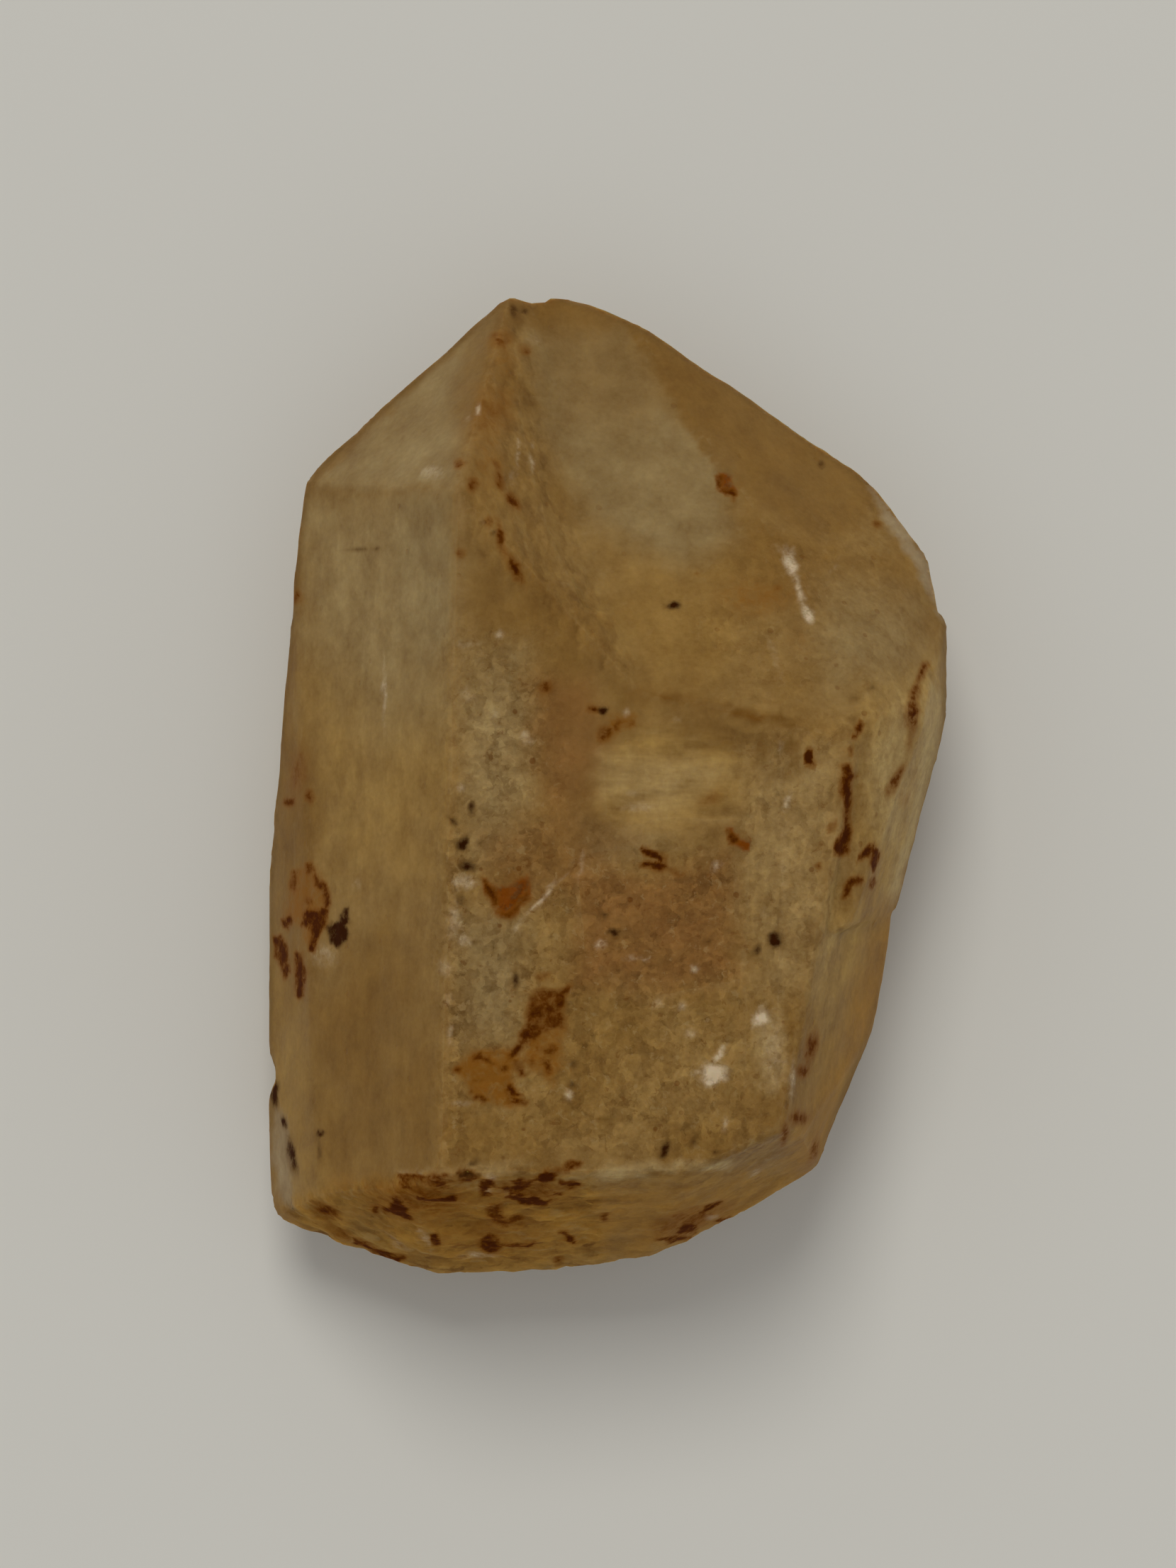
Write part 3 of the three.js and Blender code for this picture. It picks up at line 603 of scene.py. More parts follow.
# Stains with a shape of their own: the kind, how strong, how soft the border is in pixels, and the
# outline
stains = {
    "heart": ("ember", 1.2, 8, [
        (683, 1237), (700, 1250), (716, 1252), (728, 1246), (742, 1236), (748, 1248), (748, 1264),
        (735, 1278), (732, 1286), (724, 1294), (710, 1297), (701, 1292), (700, 1280), (692, 1270),
        (683, 1256)]),
    "heartLeft": ("rust", 0.8, 7, [
        (683, 1238), (692, 1246), (699, 1256), (703, 1268), (704, 1284), (700, 1288), (698, 1278),
        (690, 1268), (683, 1254)]),
    "heartFoot": ("rust", 0.65, 7, [
        (701, 1284), (712, 1289), (724, 1285), (733, 1276), (735, 1266), (743, 1256), (748, 1264),
        (737, 1276), (732, 1286), (722, 1296), (708, 1297)]),
    "heartHalo": ("ochre", 0.6, 10, [
        (694, 1240), (735, 1224), (748, 1228), (752, 1264), (735, 1290), (700, 1296)]),
    "patchHead": ("rust", 0.66, 8, [
        (752, 1398), (765, 1393), (790, 1396), (803, 1387), (807, 1391), (799, 1408), (797, 1420),
        (791, 1426), (799, 1442), (797, 1453), (772, 1455), (752, 1464), (742, 1472), (733, 1482),
        (724, 1492), (716, 1490), (722, 1478), (733, 1470), (736, 1454), (744, 1440), (744, 1425),
        (746, 1408)]),
    "patchHeadLeft": ("rust", 1.0, 7, [
        (744, 1430), (750, 1440), (748, 1450), (758, 1454), (768, 1448), (762, 1460), (750, 1468),
        (741, 1475), (733, 1470), (737, 1455), (742, 1442)]),
    "patchHeadTop": ("rust", 0.95, 6, [(788, 1403), (798, 1403), (797, 1418), (788, 1418)]),
    "patchHeadRight": ("rust", 0.95, 6, [(782, 1426), (790, 1427), (798, 1440), (792, 1447), (785, 1438)]),
    "patchArm": ("rust", 0.9, 6, [(728, 1473), (737, 1474), (733, 1485), (721, 1494), (720, 1484)]),
    "patchTail": ("rust", 0.75, 6, [
        (722, 1494), (730, 1494), (739, 1502), (742, 1517), (732, 1518), (726, 1506)]),
    "patchSide": ("rust", 0.8, 6, [(764, 1493), (773, 1494), (779, 1508), (776, 1516), (768, 1511)]),
    "patchCap": ("rust", 0.5, 8, [(754, 1376), (775, 1371), (781, 1381), (760, 1385)]),
    "patchSkirt": ("ochre", 1.1, 12, [
        (740, 1462), (798, 1450), (796, 1500), (780, 1536), (762, 1516), (736, 1500)]),
    "patchWeb": ("rust", 0.6, 6, [
        (752, 1470), (764, 1478), (780, 1470), (790, 1480), (776, 1490), (758, 1486)]),
    "patchWebLow": ("rust", 0.55, 6, [(742, 1488), (754, 1494), (758, 1508), (750, 1506)]),
    "patchLeft": ("ochre", 1.3, 11, [
        (642, 1512), (652, 1494), (672, 1480), (715, 1478), (738, 1490), (728, 1512), (726, 1530),
        (745, 1556), (720, 1562), (690, 1557), (668, 1546), (655, 1526)]),
    "patchLeftTop": ("rust", 0.75, 6, [
        (668, 1488), (676, 1483), (681, 1490), (691, 1494), (698, 1502), (682, 1499), (662, 1497)]),
    "patchLeftSpot": ("rust", 0.75, 6, [(704, 1503), (716, 1501), (720, 1508), (714, 1513), (705, 1511)]),
    "patchLeftRim": ("rust", 0.7, 6, [(641, 1506), (652, 1507), (651, 1515), (642, 1514)]),
    "patchLeftKnot": ("rust", 1.0, 6, [
        (712, 1533), (721, 1529), (728, 1538), (737, 1543), (734, 1548), (716, 1542)]),
    "patchLeftFoot": ("rust", 0.8, 6, [(664, 1539), (676, 1546), (691, 1551), (684, 1557), (671, 1551)]),
    "patchLeftLine": ("rust", 0.8, 6, [(715, 1550), (735, 1552), (747, 1556), (743, 1561), (718, 1558)]),
    "patchLeftFaint": ("rust", 0.45, 6, [(662, 1521), (682, 1521), (682, 1527), (664, 1527)]),
    "blotHaze": ("ochre", 1.1, 11, [
        (412, 1232), (424, 1222), (440, 1211), (456, 1236), (467, 1264), (460, 1292), (450, 1330),
        (428, 1332), (424, 1306), (398, 1300), (408, 1262)]),
    "blotTop": ("rust", 0.85, 6, [
        (428, 1228), (433, 1217), (443, 1217), (446, 1230), (440, 1226), (434, 1233)]),
    "blotArm": ("rust", 0.85, 6, [
        (440, 1232), (450, 1235), (459, 1250), (467, 1264), (466, 1276), (458, 1282), (455, 1266),
        (447, 1250)]),
    "blotLeft": ("rust", 0.75, 6, [(413, 1226), (420, 1225), (421, 1240), (419, 1256), (412, 1252)]),
    "blotEye": ("rust", 0.6, 7, [(428, 1266), (440, 1264), (441, 1276), (428, 1277)]),
    "blotMiddle": ("rust", 1.1, 6, [
        (432, 1284), (446, 1286), (456, 1282), (462, 1284), (459, 1306), (452, 1316), (449, 1330),
        (444, 1344), (434, 1340), (434, 1332), (440, 1318), (438, 1308), (425, 1305), (427, 1294)]),
    "blotOuter": ("rust", 1.0, 6, [(397, 1297), (408, 1292), (413, 1300), (408, 1311), (399, 1307)]),
    "edgeBlot": ("rust", 1.0, 6, [
        (384, 1320), (396, 1319), (407, 1336), (408, 1352), (410, 1372), (403, 1381), (397, 1362),
        (390, 1346)]),
    "lowStreak": ("rust", 1.0, 6, [
        (417, 1343), (425, 1343), (426, 1360), (434, 1372), (429, 1388), (426, 1408), (415, 1408),
        (417, 1384)]),
    "leftBlack": ("soot", 1.0, 7, [
        (460, 1309), (468, 1302), (478, 1300), (480, 1290), (485, 1282), (493, 1280), (495, 1300),
        (487, 1307), (493, 1317), (489, 1326), (475, 1337), (466, 1330), (465, 1320)]),
    "creviceTop": ("rust", 1.0, 6, [
        (1207, 1030), (1211, 1015), (1217, 1022), (1214, 1033), (1206, 1042), (1199, 1041)]),
    "creviceSpeck": ("rust", 0.75, 6, [(1197, 1053), (1204, 1053), (1203, 1065), (1197, 1065)]),
    "creviceLine": ("rust", 1.05, 6, [
        (1189, 1080), (1196, 1077), (1199, 1091), (1208, 1096), (1200, 1102), (1201, 1122), (1198, 1142),
        (1198, 1160), (1202, 1172), (1199, 1186), (1196, 1199), (1187, 1208), (1179, 1205), (1175, 1195),
        (1184, 1182), (1190, 1164), (1192, 1140), (1189, 1118), (1187, 1100)]),
    "creviceSide": ("rust", 0.75, 6, [(1168, 1161), (1178, 1161), (1177, 1173), (1169, 1173)]),
    "fanTop": ("rust", 1.0, 6, [
        (1225, 1192), (1234, 1189), (1241, 1204), (1239, 1222), (1231, 1231), (1226, 1220), (1228, 1207),
        (1218, 1209), (1208, 1218), (1211, 1205)]),
    "fanDot": ("rust", 0.9, 6, [(1226, 1238), (1235, 1237), (1236, 1246), (1228, 1255)]),
    "fanArm": ("rust", 0.85, 6, [
        (1197, 1242), (1211, 1234), (1220, 1238), (1214, 1245), (1201, 1250), (1198, 1262), (1189, 1270),
        (1191, 1252)]),
    "fanFaint": ("rust", 0.55, 6, [(1148, 1215), (1158, 1215), (1158, 1229), (1150, 1229)]),
    "upperSpot": ("ember", 1.1, 6, [
        (1013, 672), (1020, 666), (1031, 670), (1034, 684), (1041, 694), (1037, 703), (1027, 700),
        (1015, 694)]),
    "upperSpotRim": ("rust", 0.8, 6, [
        (1011, 678), (1018, 667), (1022, 674), (1017, 686), (1033, 690), (1040, 696), (1037, 705),
        (1027, 700), (1015, 694)]),
    "upperSpotSide": ("ochre", 0.5, 8, [(1030, 668), (1049, 674), (1052, 694), (1038, 692)]),
    "windowBead": ("soot", 1.0, 6, [(844, 1000), (857, 997), (860, 1003), (852, 1009), (844, 1006)]),
    "windowDash": ("rust", 0.9, 6, [(826, 997), (846, 999), (846, 1006), (830, 1003)]),
    "windowWeb": ("ochre", 1.0, 8, [
        (858, 1004), (876, 1008), (898, 1003), (900, 1028), (876, 1030), (862, 1046), (846, 1050),
        (856, 1026)]),
    "windowWebLow": ("rust", 0.7, 6, [
        (849, 1030), (862, 1027), (863, 1036), (852, 1047), (843, 1050), (845, 1040)]),
    "windowWebDot": ("rust", 0.6, 6, [(864, 1022), (873, 1022), (873, 1031), (864, 1031)]),
    "windowWebLine": ("rust", 0.5, 6, [
        (872, 1012), (882, 1020), (898, 1014), (899, 1024), (880, 1027), (868, 1018)]),
    "fleck": ("ember", 1.2, 6, [
        (1025, 1168), (1033, 1168), (1038, 1182), (1048, 1186), (1059, 1183), (1057, 1203), (1047, 1200),
        (1035, 1193), (1026, 1187)]),
    "fleckLeft": ("rust", 0.9, 6, [(1025, 1172), (1033, 1178), (1042, 1187), (1034, 1192), (1026, 1187)]),
    "fleckHalo": ("ochre", 0.45, 7, [(1034, 1170), (1059, 1166), (1061, 1186), (1042, 1184)]),
    "ledgeStart": ("brown", 1.0, 7, [(933, 977), (955, 980), (970, 990), (952, 994), (935, 989)]),
    "ledgeLink": ("brown", 0.4, 8, [
        (962, 988), (1000, 992), (1028, 998), (1028, 1010), (990, 1004), (964, 997)]),
    # partly painted shadow under the ledge's step, partly brown stain
    "ledgeLine": ("brown", 1.15, 7, [
        (1026, 996), (1060, 1003), (1076, 1011), (1094, 1010), (1101, 999), (1107, 1011), (1128, 1019),
        (1122, 1028), (1098, 1026), (1080, 1020), (1058, 1021), (1030, 1012)]),
    "ledgeBlotLeft": ("brown", 0.5, 6, [(959, 1012), (972, 1013), (981, 1036), (974, 1047), (961, 1036)]),
    "ledgeBlotRow": ("brown", 0.6, 9, [
        (966, 1042), (1000, 1046), (1042, 1044), (1038, 1056), (1000, 1060), (974, 1056)]),
    "ledgeTongue": ("brown", 0.7, 9, [
        (1066, 1042), (1074, 1033), (1083, 1040), (1086, 1062), (1078, 1082), (1057, 1084), (1063, 1064)]),
    "ledgeKnob": ("brown", 1.0, 7, [
        (1102, 1042), (1113, 1047), (1118, 1040), (1128, 1045), (1130, 1057), (1117, 1061), (1104, 1060)]),
    "ledgeKnobFoot": ("brown", 0.8, 9, [
        (1110, 1059), (1126, 1059), (1130, 1078), (1138, 1084), (1129, 1100), (1112, 1104), (1104, 1094),
        (1110, 1078)]),
    "ledgeSide": ("brown", 0.65, 8, [(1085, 1082), (1096, 1078), (1096, 1100), (1089, 1116), (1078, 1114)]),
    "windowBlot": ("brown", 0.6, 6, [(959, 1094), (980, 1100), (1003, 1096), (990, 1108), (972, 1114)]),
    "heelBrown": ("brown", 1.1, 6, [
        (1142, 1458), (1150, 1462), (1150, 1488), (1142, 1506), (1135, 1504), (1140, 1480)]),
    "heelBrownLow": ("brown", 0.9, 6, [(1120, 1566), (1136, 1566), (1134, 1582), (1118, 1590)]),
    "middleBrown": ("brown", 0.9, 5, [(840, 1576), (856, 1574), (878, 1580), (862, 1588), (842, 1585)]),
    "ledgeDot": ("rust", 1.5, 4, [(1136, 1058), (1147, 1059), (1148, 1078), (1136, 1079)]),
    "pairUpper": ("rust", 1.25, 6, [
        (904, 1197), (916, 1199), (928, 1204), (936, 1213), (933, 1218), (926, 1211), (914, 1207),
        (904, 1204)]),
    "pairLower": ("rust", 1.1, 6, [
        (904, 1214), (917, 1215), (932, 1218), (941, 1223), (932, 1228), (918, 1225), (905, 1222)]),
    "pairTail": ("rust", 0.55, 7, [(938, 1223), (955, 1229), (966, 1240), (950, 1236)]),
    "baseDash": ("rust", 1.2, 5, [
        (582, 1685), (600, 1688), (612, 1690), (632, 1684), (646, 1684), (643, 1694), (612, 1697),
        (590, 1694)]),
    "baseBlot": ("rust", 1.2, 6, [
        (538, 1706), (552, 1700), (556, 1689), (567, 1690), (573, 1704), (580, 1722), (568, 1717),
        (542, 1713)]),
    "baseBlotLeft": ("rust", 0.9, 5, [(524, 1704), (533, 1700), (534, 1713), (526, 1714)]),
    "baseBlotTop": ("rust", 0.75, 5, [(550, 1686), (562, 1684), (572, 1692), (562, 1696)]),
    "baseSpots": ("rust", 0.9, 5, [(562, 1664), (578, 1662), (581, 1678), (568, 1680)]),
    "baseSpotsTop": ("rust", 0.8, 5, [
        (558, 1655), (600, 1657), (628, 1655), (626, 1661), (590, 1664), (562, 1662)]),
    "baseSpotsRight": ("rust", 0.9, 5, [(606, 1664), (628, 1664), (634, 1676), (620, 1676)]),
    "baseMiddle": ("rust", 1.3, 5, [
        (722, 1684), (738, 1687), (750, 1688), (768, 1692), (778, 1690), (771, 1703), (752, 1700),
        (738, 1698), (724, 1692)]),
    "baseMiddleWeb": ("rust", 0.9, 5, [
        (720, 1664), (736, 1660), (744, 1666), (756, 1664), (752, 1676), (742, 1678), (728, 1688),
        (722, 1678)]),
    "baseCap": ("rust", 1.2, 5, [
        (752, 1664), (760, 1658), (770, 1651), (784, 1652), (782, 1663), (768, 1671)]),
    "baseCapDash": ("rust", 1.1, 5, [
        (788, 1662), (800, 1664), (816, 1666), (822, 1671), (805, 1676), (790, 1670)]),
    "baseCapLine": ("rust", 0.85, 5, [
        (778, 1650), (792, 1643), (806, 1638), (822, 1639), (816, 1647), (796, 1652)]),
    "baseCapLow": ("rust", 0.8, 5, [(778, 1676), (796, 1680), (794, 1688), (780, 1684)]),
    "baseRingLeft": ("rust", 1.0, 5, [
        (676, 1664), (696, 1664), (700, 1672), (690, 1672), (685, 1680), (697, 1684), (690, 1692),
        (677, 1688)]),
    "baseRingRight": ("rust", 1.0, 5, [
        (702, 1672), (718, 1670), (726, 1678), (722, 1692), (712, 1692), (716, 1680)]),
    "baseSmearTop": ("rust", 0.85, 6, [
        (644, 1655), (662, 1651), (676, 1655), (674, 1664), (656, 1667), (648, 1662)]),
    "baseRedTop": ("rust", 0.7, 7, [
        (684, 1700), (706, 1696), (712, 1716), (740, 1716), (736, 1728), (706, 1730), (690, 1720)]),
    "baseRed": ("rust", 0.85, 7, [
        (676, 1752), (682, 1742), (690, 1740), (701, 1747), (712, 1756), (702, 1766), (688, 1768),
        (678, 1762)]),
    "baseLongDash": ("rust", 1.1, 5, [(710, 1753), (735, 1755), (756, 1751), (748, 1761), (720, 1763)]),
    "baseNotch": ("rust", 1.1, 5, [(610, 1736), (617, 1740), (622, 1754), (615, 1761), (609, 1752)]),
    "baseSlant": ("rust", 1.1, 5, [(788, 1733), (797, 1735), (810, 1746), (812, 1753), (800, 1749)]),
    "baseDot": ("rust", 0.9, 5, [(846, 1713), (858, 1713), (857, 1724), (847, 1723)]),
    "baseLowDot": ("rust", 0.6, 5, [(782, 1775), (794, 1772), (796, 1784), (786, 1784)]),
    "rimLine": ("rust", 1.1, 6, [
        (498, 1747), (520, 1753), (545, 1766), (572, 1776), (560, 1780), (545, 1776), (520, 1765),
        (498, 1757)]),
    "chipRed": ("rust", 0.95, 5, [
        (983, 1711), (995, 1702), (1010, 1696), (1021, 1697), (1012, 1705), (990, 1715)]),
    "chipRedFoot": ("rust", 0.9, 5, [(1008, 1722), (1030, 1715), (1042, 1720), (1020, 1727)]),
    "chipBlot": ("rust", 1.0, 5, [(953, 1739), (965, 1727), (987, 1725), (981, 1739), (962, 1743)]),
    "chipTail": ("rust", 0.9, 5, [(922, 1746), (960, 1743), (982, 1746), (945, 1753)]),
}

# The kinds of mark, in the order of their random draws. On the upper side ember and brown are
# stains only.
markKinds = {
    "rust": rustMarks,
    "ember": {},
    "soot": sootMarks,
    "ochre": ochreMarks,
    "veilAndGlint": veilAndGlintMarks,
    "brown": {},
}

# Marks strewn by chance over the sides that the camera doesn't see: how many there are, the
# least and the most of their half lengths in millimetres, and how slim they are
hiddenMarks = {
    "rust": (70, 0.25, 1.3, 0.4),
    "ember": (7, 0.25, 0.6, 0.7),
    "soot": (44, 0.1, 0.35, 0.6),
    "ochre": (18, 0.8, 2.6, 0.6),
    "veilAndGlint": (26, 0.2, 1.1, 0.2),
    "brown": (24, 0.4, 1.6, 0.4),
}
strewing = {
    "hiddenFrom": 0.9,          # how well hidden a place is before a mark may lie there
    "lean": (1, 2, 1),          # the marks lie more often along the crystal
    "faintest": 0.5,
}

# Where the surface is granular, grooved, broken, streaked along the crystal or layered across it
textureZones = {
    "etched": {
        "middleFace": (0.8, 60, [
            (650, 900), (760, 900), (800, 1180), (1060, 1200), (1100, 1640), (650, 1640), (635, 1250)]),
        "prismEdge": (1.0, 16, [
            (640, 1100), (670, 1100), (665, 1350), (650, 1640), (625, 1640), (628, 1300)]),
        "rightPrism": (0.6, 40, [
            (1040, 1040), (1200, 1000), (1190, 1240), (1130, 1500), (1080, 1640), (1050, 1400)]),
        "growth": (0.3, 20, [(1200, 950), (1330, 930), (1320, 1120), (1250, 1290), (1190, 1240)]),
        "rightTip": (0.3, 60, [
            (1060, 760), (1240, 720), (1300, 900), (1200, 1000), (1060, 1000), (960, 900)]),
    },
    "ridged": {
        "band": (1.0, 18, [
            (650, 700), (668, 580), (700, 480), (740, 430), (760, 560), (790, 700), (860, 860), (900, 950),
            (850, 950), (760, 860), (690, 800), (655, 760)]),
    },
    "broken": {
        "baseLeft": (1.0, 10, [
            (400, 1700), (480, 1680), (560, 1655), (700, 1645), (840, 1648), (860, 1800), (650, 1820),
            (480, 1790)]),
        "baseRight": (0.45, 10, [
            (830, 1648), (930, 1650), (1130, 1655), (1100, 1700), (900, 1790), (850, 1800)]),
    },
    "streaked": {
        "leftPrism": (0.5, 40, [(415, 760), (640, 720), (630, 1640), (420, 1690), (385, 1300)]),
        "rightPrism": (1.0, 30, [(1050, 1060), (1320, 960), (1260, 1280), (1130, 1640), (1040, 1640)]),
    },
    "layered": {
        "window": (1.0, 22, [(835, 1050), (930, 1020), (1050, 1040), (1050, 1180), (835, 1170)]),
    },
}


def seenAt(points):
    # where the camera sees each point, in pixels across and down
    height = picture["cameraHeight"]
    spread = (height - picture["level"]) / (height - points[:, 2]) / picture["pixel"]
    placeX, placeY = picture["cameraPlace"]
    across = picture["wide"] / 2 + (points[:, 0] - placeX) * spread
    down = picture["high"] / 2 - (points[:, 1] - placeY) * spread
    return np.stack([across, down], axis=1)


def shaken(points):
    # moved a little each way, which frays the marks and the borders of the zones
    size = painting["warpSize"]
    finerSize = size / painting["warpFiner"]
    shifts = [noise.noise_vector(Vector(point) / size) for point in points]
    finer = [noise.noise_vector(Vector(point) / finerSize) for point in points]
    return points + painting["warpReach"] * (np.array(shifts) + np.array(finer) / 2)


def drift(points, size, seed):
    # slow waves of chance between -1 and 1
    middle = seed * Vector(painting["patchShift"])
    return np.array([noise.noise(Vector(point) / size + middle) for point in points])


def insideZone(seen, outline, soft):
    # 1 inside an outline and 0 outside it, with a soft border
    corners = np.array(outline, dtype=float)
    field = np.zeros(len(seen))
    close = np.all((seen > corners.min(axis=0) - soft) & (seen < corners.max(axis=0) + soft), axis=1)
    spots = seen[close]
    nearest = np.full(len(spots), 1e9)
    inside = np.zeros(len(spots), dtype=bool)
    for start, end in zip(corners, np.roll(corners, -1, axis=0)):
        side = end - start
        share = np.clip(((spots - start) @ side) / (side @ side), 0, 1)
        nearest = np.minimum(nearest, np.hypot(*(spots - start - share[:, None] * side).T))
        between = (start[1] > spots[:, 1]) != (end[1] > spots[:, 1])
        rise = side[1] if side[1] else 1e-9
        inside ^= between & (spots[:, 0] < start[0] + (spots[:, 1] - start[1]) * side[0] / rise)
    field[close] = smoothStep(np.where(inside, nearest, -nearest), -soft, soft)
    return field


def markField(seen, marks):
    # highest in the middle of a mark, a half at its outline
    field = np.zeros(len(seen))
    for across, down, halfLength, halfWidth, turn, strength in marks.values():
        right = seen[:, 0] - across
        up = down - seen[:, 1]
        cosine, sine = math.cos(math.radians(turn)), math.sin(math.radians(turn))
        along = (right * cosine + up * sine) / halfLength
        aside = (up * cosine - right * sine) / halfWidth
        field = np.maximum(field, strength * np.exp2(-(along ** 2 + aside ** 2)))
    return field


def outlineInset(seen):
    # how far each point lies inside the outline, in pixels
    inset = np.full(len(seen), 1e9)
    for turn in np.linspace(0, 2 * math.pi, painting["outlineTurns"], endpoint=False):
        reach = seen @ (math.cos(turn), math.sin(turn))
        inset = np.minimum(inset, reach.max() - reach)
    return inset


def strewnField(points, hidden, kind, seed):
    count, least, most, slimness = hiddenMarks[kind]
    draw = np.random.default_rng(seed)
    field = np.zeros(len(points))
    for place in points[draw.choice(np.flatnonzero(hidden > strewing["hiddenFrom"]), count)]:
        line = draw.normal(size=3) * strewing["lean"]
        line /= np.linalg.norm(line)
        halfLength = draw.uniform(least, most)
        along = (points - place) @ line
        aside = np.linalg.norm(points - place - along[:, None] * line, axis=1) / slimness
        reach = (along ** 2 + aside ** 2) / halfLength ** 2
        field = np.maximum(field, draw.uniform(strewing["faintest"], 1.0) * np.exp2(-reach))
    return hidden * field


def stainField(seen, kind):
    fields = [
        strength * insideZone(seen, outline, soft)
        for stainKind, strength, soft, outline in stains.values() if stainKind == kind]
    return np.max(fields, axis=0) if fields else np.zeros(len(seen))


def refine(skin):
    # halves the mesh where the camera sees small marks, so that their outlines stay crisp
    mesh = skin.data
    seen = seenAt(pointsOf(mesh))
    fields = [
        np.maximum(markField(seen, markKinds[kind]), stainField(seen, kind))
        for kind in painting["refineKinds"]]
    small = np.max(fields, axis=0) > painting["refineFrom"]
    chosen = small & (normalsOf(mesh)[:, 2] > painting["upperSideStart"])
    body = bmesh.new()
    body.from_mesh(mesh)
    edges = [edge for edge in body.edges if all(chosen[corner.index] for corner in edge.verts)]
    bmesh.ops.subdivide_edges(body, edges=edges, cuts=1, use_grid_fill=True)
    bmesh.ops.triangulate(body, faces=[face for face in body.faces if len(face.verts) > 4])
    body.to_mesh(mesh)
    body.free()
    print("refined:", len(mesh.vertices), "points")


def paintTints(mesh, loose, upper):
    points = pointsOf(mesh)
    bare = {name: np.ones(len(points)) for name in tints}
    for tint, strength, soft, outline in tintZones.values():
        bare[tint] *= 1 - strength * upper * insideZone(loose, outline, soft)
    for seed, (name, share) in enumerate(tints.items()):
        patches = smoothStep(drift(points, painting["patchSize"], seed), *painting["tintPatch"])
        store(mesh, name, 1 - bare[name] * (1 - share * (1 - upper) * patches))


def paintMarks(mesh, seen, loosePoints, upper):
    for seed, (name, marks) in enumerate(markKinds.items()):
        shown = upper * np.maximum(markField(seen, marks), stainField(seen, name))
        store(mesh, name, np.maximum(shown, strewnField(loosePoints, 1 - upper, name, seed)))


def paintTextures(mesh, loose, loosePoints, upper):
    points = pointsOf(mesh)
    for seed, (name, zones) in enumerate(textureZones.items()):
        masks = [strength * insideZone(loose, outline, soft) for strength, soft, outline in zones.values()]
        if name == "broken":
            patches = smoothStep(-loosePoints[:, 1], *painting["brokenFrom"])
        else:
            waves = drift(points, painting["patchSize"], seed + len(tints))
            patches = smoothStep(waves, *painting["texturePatch"])
        store(mesh, name, upper * np.max(masks, axis=0) + (1 - upper) * patches)


def paintOutline(mesh, seen, rise):
    whole, gone = painting["rimWidth"]
    # painted shade: a dark line just inside the outline as the camera sees it
    line = 1 - smoothStep(outlineInset(seen), whole, gone)
    store(mesh, "outlineShade", line * (1 - smoothStep(seen[:, 1], *painting["rimEnd"])))
    # painted shade: steep flanks darker
    store(mesh, "flankShade", 1 - smoothStep(np.abs(rise), *painting["flankTint"]))


def paint(skin):
    mesh = skin.data
    points = pointsOf(mesh)
    loosePoints = shaken(points)
    seen, loose = seenAt(points), seenAt(loosePoints)
    rise = normalsOf(mesh)[:, 2]
    upper = smoothStep(rise, painting["upperSideStart"], painting["upperSideFull"])
    paintTints(mesh, loose, upper)
    paintMarks(mesh, (seen + loose) / 2, loosePoints, upper)
    paintTextures(mesh, loose, loosePoints, upper)
    paintOutline(mesh, seen, rise)
    markCount = sum(len(marks) for marks in markKinds.values())
    print("painted", len(tintZones), "zones,", len(stains), "stains and", markCount, "marks")


reliefSizes = {                 # millimetres
    "Granule size": 0.55,
    "Granule height": 0.1,
    "Ridge width": 0.34,
    "Ridge height": 0.04,
    "Shell size": 1.3,
    "Shell height": 0.16,
    "Undulation size": 3.2,
    "Undulation height": 0.06,
}
ridgeStretch = (1.0, 0.16, 0.6)  # how the ridges are drawn out, along the crystal most


def reliefTree(material):
    # gives the skin its fine relief, half of it sunk and half of it raised
    tree = bpy.data.node_groups.new("crystalRelief", "GeometryNodeTree")
    tree.interface.new_socket("Geometry", in_out="INPUT", socket_type="NodeSocketGeometry")
    for name in reliefSizes:
        tree.interface.new_socket(name, in_out="INPUT", socket_type="NodeSocketFloat")
    tree.interface.new_socket("Geometry", in_out="OUTPUT", socket_type="NodeSocketGeometry")
    sheet = Sheet(tree)
    entry = tree.nodes.new("NodeGroupInput")
    size = {name: Value(sheet, entry.outputs[name]) for name in reliefSizes}
    place = sheet.node("GeometryNodeInputPosition")

    def mask(name):
        return sheet.node("GeometryNodeInputNamedAttribute", {"data_type": "FLOAT"}, {"Name": name})

    def swing(pattern, half=0.2):
        # from -0.5 to 0.5, as the pattern goes from so far below its middle to so far above it
        return sheet.step(pattern, 0.5 - half, 0.5 + half) - 0.5

    granules = sheet.cloud(place, size["Granule size"], detail=2.0)
    ridges = sheet.cloud(sheet.stretched(place, ridgeStretch), size["Ridge width"], detail=1.0)
    shells = sheet.cloud(place, size["Shell size"], detail=3.0)
    waves = sheet.cloud(place, size["Undulation size"], detail=1.0)
    height = (
        mask("etched") * size["Granule height"] * swing(granules)
        + mask("ridged") * size["Ridge height"] * swing(ridges, half=0.15)
        + mask("broken") * size["Shell height"] * swing(shells)
        + size["Undulation height"] * swing(waves)
    )
    normal = sheet.node("GeometryNodeInputNormal")
    inputs = {"Geometry": Value(sheet, entry.outputs["Geometry"]), "Offset": sheet.scaled(normal, height)}
    carved = sheet.node("GeometryNodeSetPosition", None, inputs)
    real = sheet.node("GeometryNodeRealizeInstances", None, {"Geometry": carved})
    done = sheet.node("GeometryNodeSetMaterial", None, {"Geometry": real, "Material": material})
    sheet.node("NodeGroupOutput", None, {"Geometry": done})
    return tree


